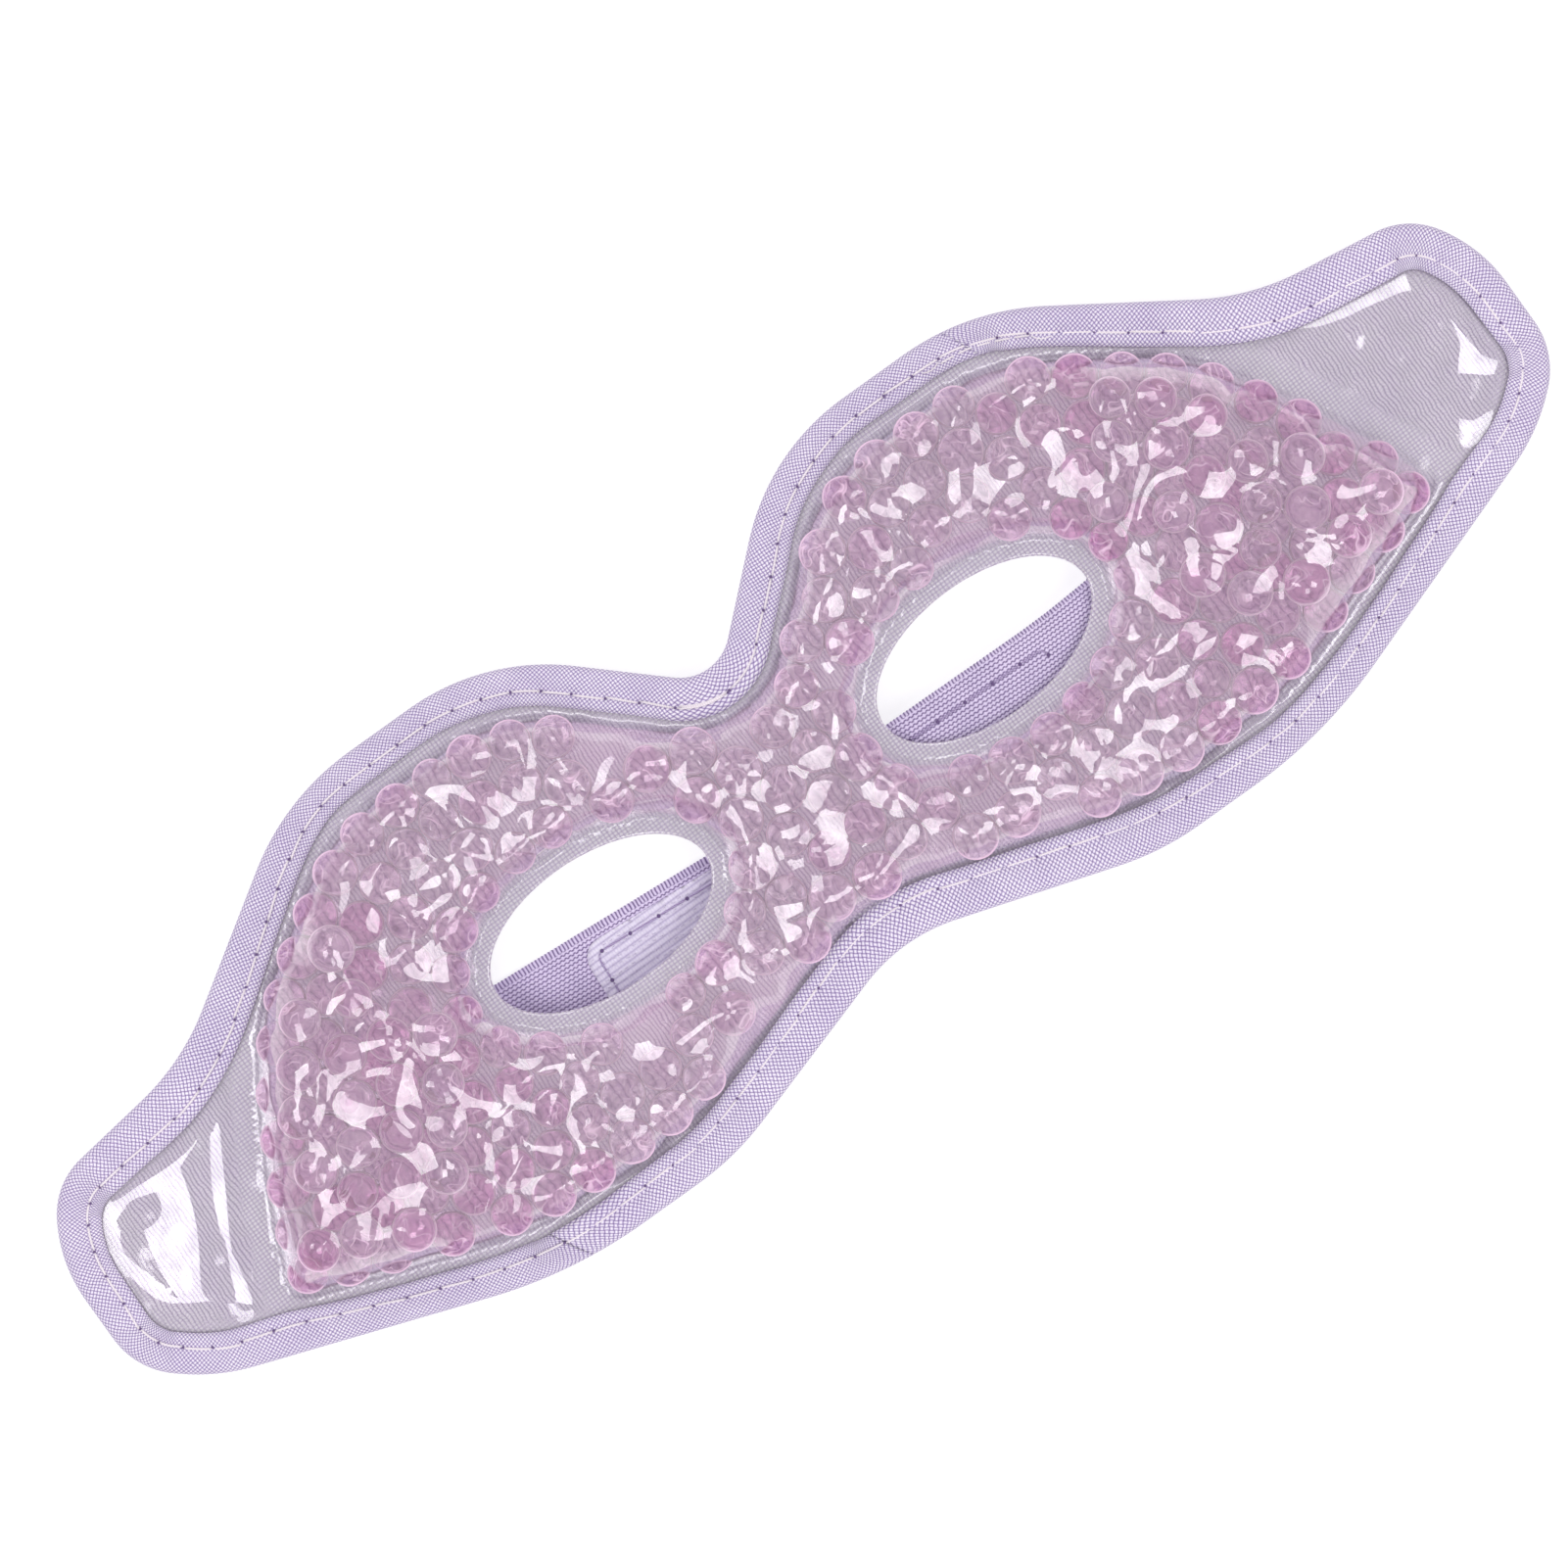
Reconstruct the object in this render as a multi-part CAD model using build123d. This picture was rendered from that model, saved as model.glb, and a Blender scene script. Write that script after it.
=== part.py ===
from build123d import *
import math
import os

# Gel-bead eye mask, lying face up on its own closed strap. All sizes are in millimetres.
# +Z points out of the clear front, +Y to the brow edge, -Y to the nose notch, X along the length.
# z = 0 is the underside of the strap, and x = y = 0 is the middle of the outline.
# "right" is the +X side and "left" the -X side.

# ---- outline of the mask: corners of one half, as (x, y, corner radius), from nose to brow
HALF_LENGTH = 125.0
HALF_WIDTH = 39.7
NOSE_NOTCH = (0.0, -17.0, 7.0)
BROW_ARCH = (0.0, 28.0, 26.0)
HALF_CORNERS = [
    (25.0, -HALF_WIDTH, 34.0),
    (60.0, -HALF_WIDTH, 38.0),
    (94.0, -17.5, 36.0),
    (119.0, -14.0, 11.0),
    (HALF_LENGTH, -4.0, 22.0),
    (HALF_LENGTH, 14.5, 12.0),
    (116.0, 22.2, 30.0),
    (66.0, HALF_WIDTH, 73.0),
    (37.5, HALF_WIDTH, 43.0),
]

# ---- eye holes
EYE_X = 33.7
EYE_Y = 1.3
EYE_HALF_LENGTH = 17.9
EYE_HALF_HEIGHT = 9.8
EYE_TILT = 2.0
RING_WELD = 2.6

# ---- bead chamber, its two end seams and the deeper lobes beside the eyes
BINDING_WIDTH = 6.2
EDGE_WELD = 1.2
SEAM_CENTRE = (31.4, 67.7)
SEAM_RADIUS = 140.6
SEAM_CORNERS = [(100.0, 18.0, 6.0), (80.4, -17.5, 15.0)]
DOME_ROUND = 3.0
LOBE_X = 95.0
LOBE_RADIUS = 36.0
LOBE_INSET = 3.6
LOBE_CORNER_RADIUS = 5.0

# ---- thicknesses
STRAP_T = 1.2
HOOK_T = 1.6
LOOP_T = 1.4
BINDING_T = 0.7
FABRIC_T = 0.8
BACK_FILM_T = 0.3
FRONT_FILM_T = 0.35
GEL_T = 0.5
THREAD_T = 0.2
THREAD_W = 0.4
CLEARANCE = 0.3

# ---- beads
BEAD_RADIUS = 3.0
BEAD_PITCH = 6.35
FIRST_ROW_Y = 1.0
BEAD_GAP = 0.05
WALL_GAP = 0.2
BRIDGE_HALF = 15.5
LOBE_START = 54.0

# ---- strap: a hook half from the right end and a loop half from the left end
STRAP_WIDTH = 20.0
TAPE_WIDTH = 16.0
TAPE_CORNER = 3.0
TAPE_SEAM_INSET = 1.8
TIP_CORNER = 1.5
HINGE_X = 116.0
ANCHOR_INNER_X = 117.8
ANCHOR_OUTER_X = 123.0
STRAP_END_Y = 4.9
HOOK_STRAP_TIP = (-23.0, 15.1)
HOOK_TAPE_ENDS = (39.3, -21.0)
HOOK_SLOPE_START_X = 108.0
HOOK_SLOPE_END_X = 62.0
SLOPE_BEND_RADIUS = 60.0
LOOP_STRAP_BEND = (-46.0, 12.4)
LOOP_STRAP_TIP = (8.0, 11.6)
LOOP_BEND_RADIUS = 150.0
LOOP_TAPE_ENDS = (-42.5, 6.0)
ANCHOR_ROWS = (119.2, 120.6, 122.0)
ANCHOR_ROW_LENGTH = 17.0
ANCHOR_ROW_Y = 4.1

# ---- binding: the stitch line, and the two places where the tape is joined
STITCH_INSET = 4.2
FOLD_ROUND = 0.8
LAYER_INSET = 0.9
LAP_CUT = [(-52.0, -27.0), (-70.0, -46.0)]
SPLICE_CUT = [(50.0, 46.0), (66.0, 31.0)]

# ---- levels, built up from the strap's underside
HOOK_TAPE_Z = STRAP_T
LOOP_TAPE_Z = HOOK_TAPE_Z + HOOK_T + CLEARANCE
LOOP_STRAP_Z = LOOP_TAPE_Z + LOOP_T
STRAP_TOP = LOOP_STRAP_Z + STRAP_T
MASK_BACK = STRAP_TOP + CLEARANCE
FABRIC_Z = MASK_BACK + BINDING_T
BACK_FILM_Z = FABRIC_Z + FABRIC_T
FRONT_FILM_Z = BACK_FILM_Z + BACK_FILM_T
FLANGE_TOP = FRONT_FILM_Z + FRONT_FILM_T
BINDING_TOP = FLANGE_TOP + BINDING_T
LOWER_BEAD_Z = FRONT_FILM_Z + GEL_T + BEAD_GAP + BEAD_RADIUS
NEST_SIDE = BEAD_PITCH / math.sqrt(3)
UPPER_BEAD_Z = LOWER_BEAD_Z + math.sqrt((2 * BEAD_RADIUS) ** 2 - NEST_SIDE**2) + BEAD_GAP
BEAD_MARGIN = BEAD_RADIUS + WALL_GAP + FRONT_FILM_T
CHAMBER_TOP = LOWER_BEAD_Z + BEAD_MARGIN
LOBE_TOP = UPPER_BEAD_Z + BEAD_MARGIN


def slab(face, low, high):
    """A flat layer: the face extruded between two levels."""
    return Pos(0, 0, low) * extrude(face, amount=high - low, dir=(0, 0, 1))


def mask_outline():
    """The whole outer edge as straight runs and tangent arcs."""
    mirrored = [(-x, y, r) for x, y, r in reversed(HALF_CORNERS)]
    corners = [NOSE_NOTCH] + HALF_CORNERS + [BROW_ARCH] + mirrored
    points = [(x, y) for x, y, r in corners]
    edge = FilletPolyline(*points, radius=[r for x, y, r in corners], close=True)
    return make_face(edge.edges())


OUTLINE = mask_outline()


def inset(distance):
    """The mask's outline moved inwards."""
    return offset(OUTLINE, amount=-distance)


def eye_hole(side, grow=0.0):
    """One oval eye opening, its outer end tilted towards the nose edge."""
    oval = Ellipse(EYE_HALF_LENGTH + grow, EYE_HALF_HEIGHT + grow)
    return Pos(side * EYE_X, EYE_Y) * Rot(0, 0, -EYE_TILT * side) * oval


def without_eyes(face, grow=0.0):
    """A layer's face with both eye openings cut out."""
    return face - eye_hole(1, grow) - eye_hole(-1, grow)


def chamber_bounds(shrink):
    """The space inside the edge weld and the two end seams, with sharp corners."""
    plan = inset(BINDING_WIDTH + EDGE_WELD + shrink)
    for side in (1, -1):
        plan = plan & Pos(-side * SEAM_CENTRE[0], SEAM_CENTRE[1]) * Circle(SEAM_RADIUS - shrink)
    return plan


def chamber_plan(shrink):
    """Plan of the bead chamber, with its seam corners rounded and the eye rings left out."""
    plan = chamber_bounds(shrink)
    for x, y, radius in SEAM_CORNERS:
        for side in (1, -1):
            target = Vector(side * x, y)
            corner = min(plan.vertices(), key=lambda v: (v.center() - target).length)
            plan = fillet(corner, radius=radius - shrink)
    return without_eyes(plan, RING_WELD + shrink)


def lobe_plan(side, shrink):
    """Plan of the deeper, double-layered lobe beside one eye, with rounded corners."""
    radius = LOBE_RADIUS - shrink
    centre = Vector(side * LOBE_X, 0)
    lobe = chamber_plan(LOBE_INSET + shrink) & Pos(centre) * Circle(radius)
    corners = [v for v in lobe.vertices() if abs((v.center() - centre).length - radius) < 0.01]
    return fillet(corners, radius=LOBE_CORNER_RADIUS - shrink).face()


def rounded_block(face, top, radius):
    """A block from the back film up to a level, with its top edges rounded."""
    block = slab(face, FRONT_FILM_Z, top)
    return fillet(block.faces().sort_by(Axis.Z)[-1].edges(), radius=radius)


def dome(shrink):
    """The chamber's space: one bead deep, and two beads deep in the lobes."""
    body = rounded_block(chamber_plan(shrink), CHAMBER_TOP - shrink, DOME_ROUND - shrink)
    for side in (1, -1):
        body += rounded_block(lobe_plan(side, shrink), LOBE_TOP - shrink, DOME_ROUND - shrink)
    return body


def lattice(shift_x, shift_y):
    """Centres of a close triangular grid that covers the mask."""
    row_step = BEAD_PITCH * math.sqrt(3) / 2
    rows = int(HALF_WIDTH // row_step) + 1
    columns = int(HALF_LENGTH // BEAD_PITCH) + 1
    centres = []
    for row in range(-rows, rows + 1):
        stagger = BEAD_PITCH / 2 * (row % 2)
        for column in range(-columns, columns + 1):
            centres.append((column * BEAD_PITCH + stagger + shift_x, row * row_step + shift_y))
    return centres


def lying_in(plan, centres, level):
    """The centres at which a bead fits inside a plan."""
    return [Vector(x, y, level) for x, y in centres if plan.is_inside(Vector(x, y, 0))]


def bead_region(centre):
    """The name of the part of the mask in which a bead lies."""
    side = "right" if centre.X > 0 else "left"
    if abs(centre.X) < BRIDGE_HALF:
        return "bridge"
    if abs(centre.X) > LOBE_START:
        return "lobe_" + side
    return ("brow_" if centre.Y > EYE_Y else "cheek_") + side


def bead_groups():
    """All beads, gathered by region. The lobes hold a second layer nested on the first."""
    lower_plan = without_eyes(chamber_bounds(BEAD_MARGIN), RING_WELD + BEAD_MARGIN).face()
    lower = lying_in(lower_plan, lattice(0, FIRST_ROW_Y), LOWER_BEAD_Z)
    groups = {}
    for centre in lower:
        groups.setdefault("beads_" + bead_region(centre), []).append(centre)
    nest = lattice(BEAD_PITCH / 2, FIRST_ROW_Y + NEST_SIDE / 2)
    for side, name in ((1, "right"), (-1, "left")):
        plan = offset(lobe_plan(side, 0), amount=-BEAD_MARGIN).face()
        groups["beads_upper_lobe_" + name] = lying_in(plan, nest, UPPER_BEAD_Z)
    return groups


def bead_cluster(centres):
    """Separate round beads at the given centres."""
    return Compound(children=[Pos(centre) * Sphere(BEAD_RADIUS) for centre in centres])


def front_film():
    """Clear film: a flat flange out to the edge, drawn up into the bead chamber."""
    flange = slab(without_eyes(inset(LAYER_INSET)), FRONT_FILM_Z, FLANGE_TOP)
    return flange + dome(0) - dome(FRONT_FILM_T)


def flat_layer(low, high):
    """A sheet that reaches into the fold of the binding."""
    return slab(without_eyes(inset(LAYER_INSET)), low, high)


def carrier_gel():
    """A thin pool of clear gel under the beads."""
    plan = chamber_plan(FRONT_FILM_T + BEAD_GAP)
    return slab(plan, FRONT_FILM_Z, FRONT_FILM_Z + GEL_T)


def binding_strips():
    """Bias tape folded over the whole edge, in two strips joined at the lap and the splice."""
    band = slab(OUTLINE - inset(BINDING_WIDTH), MASK_BACK, BINDING_TOP)
    flat_faces = band.faces().sort_by(Axis.Z)
    outer_edges = flat_faces[0].outer_wire().edges() + flat_faces[-1].outer_wire().edges()
    band = fillet(outer_edges, radius=FOLD_ROUND)
    band -= slab(inset(FOLD_ROUND), FABRIC_Z, FLANGE_TOP)
    far = 2 * HALF_LENGTH
    side = Polyline(*LAP_CUT, (-far, -far), (-far, far), *SPLICE_CUT, close=True)
    half = slab(make_face(side.edges()), 0, 2 * BINDING_TOP)
    return band & half, band - half


def seam_line(low, high):
    """The stitch line that runs all round the binding."""
    line = inset(STITCH_INSET - THREAD_W / 2) - inset(STITCH_INSET + THREAD_W / 2)
    return slab(line, low, high)


def strap_anchor(side):
    """The sewn end of a strap half, under the binding at the end of the mask."""
    width = ANCHOR_OUTER_X - ANCHOR_INNER_X
    middle = side * (ANCHOR_INNER_X + ANCHOR_OUTER_X) / 2
    plan = Pos(middle, STRAP_END_Y) * Rectangle(width, STRAP_WIDTH) & inset(FOLD_ROUND)
    return slab(plan, LOOP_STRAP_Z + THREAD_T, MASK_BACK)


def anchor_stitches(side):
    """Rows of thread that hold a strap end to the mask."""
    rows = Sketch()
    for x in ANCHOR_ROWS:
        rows += Pos(side * x, ANCHOR_ROW_Y) * Rectangle(THREAD_W, ANCHOR_ROW_LENGTH)
    return slab(rows & inset(2 * FOLD_ROUND), LOOP_STRAP_Z, LOOP_STRAP_Z + THREAD_T)


def rounded_end(plan, x, radius):
    """A strip's plan with the two corners nearest to x rounded."""
    ends = sorted(plan.vertices(), key=lambda v: abs(v.X - x))[:2]
    return fillet(ends, radius=radius)


def along(start, end, x):
    """The point at a given x on the line from start to end."""
    part = (x - start[0]) / (end[0] - start[0])
    return (x, start[1] + part * (end[1] - start[1]))


HOOK_START = (HINGE_X, STRAP_END_Y)
LOOP_START = (-HINGE_X, STRAP_END_Y)


def hook_strap():
    """Knitted elastic from the right end. It slopes down to lie under the loop half."""
    band = trace(Line(HOOK_START, HOOK_STRAP_TIP), STRAP_WIDTH)
    plan = rounded_end(band, HOOK_STRAP_TIP[0], TIP_CORNER)
    tip_x = HOOK_STRAP_TIP[0] - STRAP_WIDTH
    root_x = HINGE_X + STRAP_WIDTH
    top = [
        (tip_x, STRAP_T),
        (HOOK_SLOPE_END_X, STRAP_T),
        (HOOK_SLOPE_START_X, STRAP_TOP),
        (root_x, STRAP_TOP),
    ]
    bottom = [(x, z - STRAP_T) for x, z in reversed(top)]
    bends = [0, SLOPE_BEND_RADIUS, SLOPE_BEND_RADIUS, 0]
    side_view = FilletPolyline(*top, *bottom, radius=bends + bends, close=True)
    profile = Plane.XZ * make_face(side_view.edges())
    depth = extrude(profile, amount=HALF_WIDTH, both=True)
    inner_side = Pos(HINGE_X - HALF_LENGTH, 0) * Rectangle(2 * HALF_LENGTH, 2 * HALF_LENGTH)
    return depth & slab(plan & inner_side, 0, STRAP_TOP)


def loop_strap():
    """Knitted elastic from the left end, flat under the mask's back."""
    path = FilletPolyline(LOOP_START, LOOP_STRAP_BEND, LOOP_STRAP_TIP, radius=LOOP_BEND_RADIUS)
    plan = rounded_end(trace(path.edges(), STRAP_WIDTH), LOOP_STRAP_TIP[0], TIP_CORNER)
    inner_side = Pos(HALF_LENGTH - HINGE_X, 0) * Rectangle(2 * HALF_LENGTH, 2 * HALF_LENGTH)
    return slab(plan & inner_side, LOOP_STRAP_Z, STRAP_TOP)


def tape_plan(start, end, inset_by=0.0):
    """A hook or loop tape with rounded corners, along the middle of its strap."""
    length = math.hypot(end[0] - start[0], end[1] - start[1])
    angle = math.degrees(math.atan2(end[1] - start[1], end[0] - start[0]))
    middle = ((start[0] + end[0]) / 2, (start[1] + end[1]) / 2)
    shape = RectangleRounded(length - 2 * inset_by, TAPE_WIDTH - 2 * inset_by, TAPE_CORNER - inset_by)
    return Pos(*middle) * Rot(0, 0, angle) * shape


def tape_seam(start, end):
    """Plan of the stitch line around a tape."""
    outer = tape_plan(start, end, TAPE_SEAM_INSET)
    return outer - tape_plan(start, end, TAPE_SEAM_INSET + THREAD_W)


HOOK_TAPE = [along(HOOK_START, HOOK_STRAP_TIP, x) for x in HOOK_TAPE_ENDS]
LOOP_TAPE = [along(LOOP_STRAP_BEND, LOOP_STRAP_TIP, x) for x in LOOP_TAPE_ENDS]


def build_parts():
    """Every sub-part by its node name."""
    parts = {
        "front_film": front_film(),
        "back_film": flat_layer(BACK_FILM_Z, FRONT_FILM_Z),
        "backing_fabric": flat_layer(FABRIC_Z, BACK_FILM_Z),
        "carrier_gel": carrier_gel(),
    }
    for name, centres in bead_groups().items():
        parts[name] = bead_cluster(centres)
    parts["binding_brow_strip"], parts["binding_nose_strip"] = binding_strips()
    parts["needle_thread"] = seam_line(BINDING_TOP, BINDING_TOP + THREAD_T)
    anchors = {"hook": strap_anchor(1), "loop": strap_anchor(-1)}
    bobbin = seam_line(MASK_BACK - THREAD_T, MASK_BACK)
    parts["bobbin_thread"] = bobbin - anchors["hook"] - anchors["loop"]
    for name, side in (("hook", 1), ("loop", -1)):
        parts[name + "_strap_anchor"] = anchors[name]
        parts[name + "_anchor_stitches"] = anchor_stitches(side)
    hook_seam = slab(tape_seam(*HOOK_TAPE), LOOP_TAPE_Z - CLEARANCE - THREAD_T, LOOP_TAPE_Z - CLEARANCE)
    parts["hook_strap"] = hook_strap()
    hook_pad = slab(tape_plan(*HOOK_TAPE), HOOK_TAPE_Z, HOOK_TAPE_Z + HOOK_T)
    parts["hook_tape"] = hook_pad - hook_seam
    parts["hook_tape_stitches"] = hook_seam
    parts["loop_strap"] = loop_strap()
    parts["loop_tape"] = slab(tape_plan(*LOOP_TAPE), LOOP_TAPE_Z, LOOP_STRAP_Z)
    loop_seam = slab(tape_seam(*LOOP_TAPE), STRAP_TOP, STRAP_TOP + THREAD_T)
    parts["loop_tape_stitches"] = loop_seam
    return parts


os.makedirs("parts", exist_ok=True)
for node, shape in build_parts().items():
    export_step(shape, f"parts/{node}.step")
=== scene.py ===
import math

import bmesh
import bpy
import numpy as np
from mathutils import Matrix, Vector, geometry


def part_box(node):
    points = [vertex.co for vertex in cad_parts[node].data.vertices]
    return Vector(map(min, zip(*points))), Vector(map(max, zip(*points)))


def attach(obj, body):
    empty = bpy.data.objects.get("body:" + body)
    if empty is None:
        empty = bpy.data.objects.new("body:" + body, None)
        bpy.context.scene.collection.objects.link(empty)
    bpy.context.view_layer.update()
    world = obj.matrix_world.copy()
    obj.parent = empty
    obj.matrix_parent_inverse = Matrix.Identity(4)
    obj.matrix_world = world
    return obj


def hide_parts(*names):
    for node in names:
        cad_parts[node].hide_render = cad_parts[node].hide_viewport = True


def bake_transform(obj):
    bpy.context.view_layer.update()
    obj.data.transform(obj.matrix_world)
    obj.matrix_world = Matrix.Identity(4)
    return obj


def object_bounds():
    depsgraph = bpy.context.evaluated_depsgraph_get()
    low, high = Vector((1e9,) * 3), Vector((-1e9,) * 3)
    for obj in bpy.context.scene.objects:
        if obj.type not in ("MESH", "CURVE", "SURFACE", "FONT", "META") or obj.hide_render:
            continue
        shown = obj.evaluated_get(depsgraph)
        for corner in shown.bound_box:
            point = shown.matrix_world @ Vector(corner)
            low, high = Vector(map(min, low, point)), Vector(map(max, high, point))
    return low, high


# The looks of a gel-bead eye mask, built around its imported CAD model.
# Shapes are worked out in millimetres in the frame's own axes, and written to meshes in metres.

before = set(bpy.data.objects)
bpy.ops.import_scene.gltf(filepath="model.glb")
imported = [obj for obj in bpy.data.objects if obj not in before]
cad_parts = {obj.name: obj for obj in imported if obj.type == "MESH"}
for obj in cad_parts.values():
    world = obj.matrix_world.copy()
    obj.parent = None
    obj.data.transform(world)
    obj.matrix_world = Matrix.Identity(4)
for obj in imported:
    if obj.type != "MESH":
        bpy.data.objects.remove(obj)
cad_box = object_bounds()
MM = 0.001


def corner_mm(node, corner):
    """The lowest (0) or highest (1) corner of a CAD node, in millimetres."""
    return np.array(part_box(node)[corner]) / MM


# ---- levels and sizes read from the frame
HALF_LENGTH = float(cad_box[1].x) / MM
HALF_WIDTH = float(cad_box[1].y) / MM
MASK_BACK = corner_mm("binding_brow_strip", 0)[2]
BINDING_TOP = corner_mm("binding_brow_strip", 1)[2]
FABRIC_LOW = corner_mm("backing_fabric", 0)[2]
FABRIC_TOP = corner_mm("backing_fabric", 1)[2]
FILM_LOW = corner_mm("front_film", 0)[2]
LOBE_TOP = corner_mm("front_film", 1)[2]
GEL_TOP = corner_mm("carrier_gel", 1)[2]
FLANGE_TOP = BINDING_TOP - (FABRIC_LOW - MASK_BACK)
CHAMBER_DEPTH = 7.1
CHAMBER_TOP = FILM_LOW + CHAMBER_DEPTH
STRAP_T = 1.2
STRAP_WIDTH = 20.0
RIB_PITCH = 0.56
STRAP_TOP = corner_mm("loop_strap", 1)[2]

# ---- outline of the mask: corners of one half, as (x, y, corner radius), from nose to brow
NOSE_NOTCH = (0.0, -17.0, 7.0)
BROW_ARCH = (0.0, 28.0, 26.0)
HALF_CORNERS = [
    (25.0, -HALF_WIDTH, 34.0),
    (60.0, -HALF_WIDTH, 38.0),
    (94.0, -17.5, 36.0),
    (119.0, -14.0, 11.0),
    (HALF_LENGTH, -4.0, 22.0),
    (HALF_LENGTH, 14.5, 12.0),
    (116.0, 22.2, 30.0),
    (66.0, HALF_WIDTH, 73.0),
    (37.5, HALF_WIDTH, 43.0),
]
EYE_CENTRE = (33.7, 1.3)
EYE_RADII = (17.9, 9.8)
EYE_TILT = 2.0
RING_WELD = 2.6
FILM_EDGE = 0.9
CHAMBER_INSET = 7.4
SEAM_CENTRE = (31.4, 67.7)
SEAM_RADIUS = 140.6
LOBE_X = 95.0
LOBE_RADIUS = 36.0
LOBE_INSET = 3.6
GRID = 0.5
SEED = 11


# ======== plane geometry
def way_along(points):
    """How far along a line each of its points lies."""
    return np.concatenate([[0], np.cumsum(np.linalg.norm(np.diff(points, axis=0), axis=1))])


def resample(points, step, closed):
    """Evenly spaced points along a polyline."""
    if closed:
        points = np.vstack([points, points[:1]])
    along = way_along(points)
    places = np.linspace(0, along[-1], max(3, round(along[-1] / step)) + 1)
    if closed:
        places = places[:-1]
    return np.column_stack([np.interp(places, along, points[:, k]) for k in (0, 1)])


def unit(vectors):
    return vectors / np.linalg.norm(vectors, axis=-1)[..., None]


def turned(xy, angle):
    """Points turned about the origin."""
    c, s = math.cos(angle), math.sin(angle)
    x, y = xy[..., 0], xy[..., 1]
    return np.stack([c * x - s * y, s * x + c * y], -1)


def rounded(corners, step, closed=True):
    """Points along straight runs joined by arcs. Each corner is (x, y, radius)."""
    points = []
    count = len(corners)
    for i, (x, y, radius) in enumerate(corners):
        here = np.array([x, y])
        if not closed and i in (0, count - 1):
            points.append(here)
            continue
        before = np.array(corners[i - 1][:2]) - here
        after = np.array(corners[(i + 1) % count][:2]) - here
        before = before / np.linalg.norm(before)
        after = after / np.linalg.norm(after)
        half = math.acos(np.clip(before @ after, -1, 1)) / 2
        bisector = (before + after) / np.linalg.norm(before + after)
        centre = here + bisector * radius / math.sin(half)
        start = here + before * radius / math.tan(half) - centre
        end = here + after * radius / math.tan(half) - centre
        turn = math.atan2(start[0] * end[1] - start[1] * end[0], start @ end)
        shares = np.linspace(0, 1, max(4, int(abs(turn) * radius / step)))
        points += [centre + turned(start, turn * share) for share in shares]
    return resample(np.array(points), step, closed)


def left_normals(points, closed=True):
    """Unit vectors to the left of the way the points run."""
    if closed:
        tangent = np.roll(points, -1, axis=0) - np.roll(points, 1, axis=0)
    else:
        tangent = np.gradient(points, axis=0)
    return unit(np.column_stack([-tangent[:, 1], tangent[:, 0]]))


def mask_outline():
    """The mask's outer edge, anticlockwise from the nose notch."""
    mirrored = [(-x, y, r) for x, y, r in reversed(HALF_CORNERS)]
    points = rounded([NOSE_NOTCH] + HALF_CORNERS + [BROW_ARCH] + mirrored, GRID)
    first = np.argmin(np.hypot(points[:, 0], points[:, 1] - NOSE_NOTCH[1]))
    return np.roll(points, -first, axis=0)


def eye_loop(side, grow, step=GRID):
    """An eye opening's edge, or a line a little outside it."""
    turns = np.linspace(0, 2 * math.pi, 720, endpoint=False)
    x = (EYE_RADII[0] + grow) * np.cos(turns)
    y = (EYE_RADII[1] + grow) * np.sin(turns)
    loop = turned(np.column_stack([x, y]), math.radians(-EYE_TILT * side))
    return resample(loop + np.array([side * EYE_CENTRE[0], EYE_CENTRE[1]]), step, True)


def inside_distance(loop, xy):
    """How far points lie inside an anticlockwise loop. Outside it is negative."""
    normals = left_normals(loop)
    found = []
    for part in np.array_split(xy, max(1, len(xy) // 4000)):
        apart = part[:, None, :] - loop[None]
        nearest = np.argmin((apart**2).sum(2), axis=1)
        away = apart[np.arange(len(part)), nearest]
        side = np.sign((away * normals[nearest]).sum(1))
        found.append(side * np.linalg.norm(away, axis=1))
    return np.concatenate(found)


def waves(x, y, length, seed, count=26):
    """Smooth seeded noise of about unit size, with features of about the given length."""
    rng = np.random.default_rng(seed)
    total = np.zeros_like(x)
    for _ in range(count):
        angle, phase = rng.uniform(0, 2 * math.pi, 2)
        rate = 2 * math.pi / (length * rng.uniform(0.65, 1.7))
        total += np.cos(rate * (x * math.cos(angle) + y * math.sin(angle)) + phase)
    return total / math.sqrt(count / 2)


def hump(value, width):
    """1 where the value is 0, falling away smoothly on both sides."""
    return np.exp(-((value / width) ** 2))


def smooth_step(value, low, high):
    """From 0 where the value is low, smoothly to 1 where it is high."""
    share = np.clip((value - low) / (high - low), 0, 1)
    return share * share * (3 - 2 * share)


OUTLINE = mask_outline()
OUTLINE_NORMALS = left_normals(OUTLINE)
PERIMETER = float(np.linalg.norm(OUTLINE - np.roll(OUTLINE, 1, axis=0), axis=1).sum())


class Field:
    """Values on a regular grid over the mask, read at any point."""

    xs = np.arange(-HALF_LENGTH - 2, HALF_LENGTH + 2.01, GRID)
    ys = np.arange(-HALF_WIDTH - 2, HALF_WIDTH + 2.01, GRID)

    def __init__(self, values):
        self.values = values.reshape(len(self.ys), len(self.xs))

    def at(self, x, y):
        u = np.clip((x - self.xs[0]) / GRID, 0, len(self.xs) - 1.001)
        v = np.clip((y - self.ys[0]) / GRID, 0, len(self.ys) - 1.001)
        i, j = u.astype(int), v.astype(int)
        p, q = u - i, v - j
        a = self.values
        low = a[j, i] * (1 - p) + a[j, i + 1] * p
        return low * (1 - q) + (a[j + 1, i] * (1 - p) + a[j + 1, i + 1] * p) * q

    def slope(self, x, y):
        """The direction in which the values grow."""
        dx = (self.at(x + GRID, y) - self.at(x - GRID, y)) / (2 * GRID)
        dy = (self.at(x, y + GRID) - self.at(x, y - GRID)) / (2 * GRID)
        return np.column_stack([dx, dy])


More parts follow.
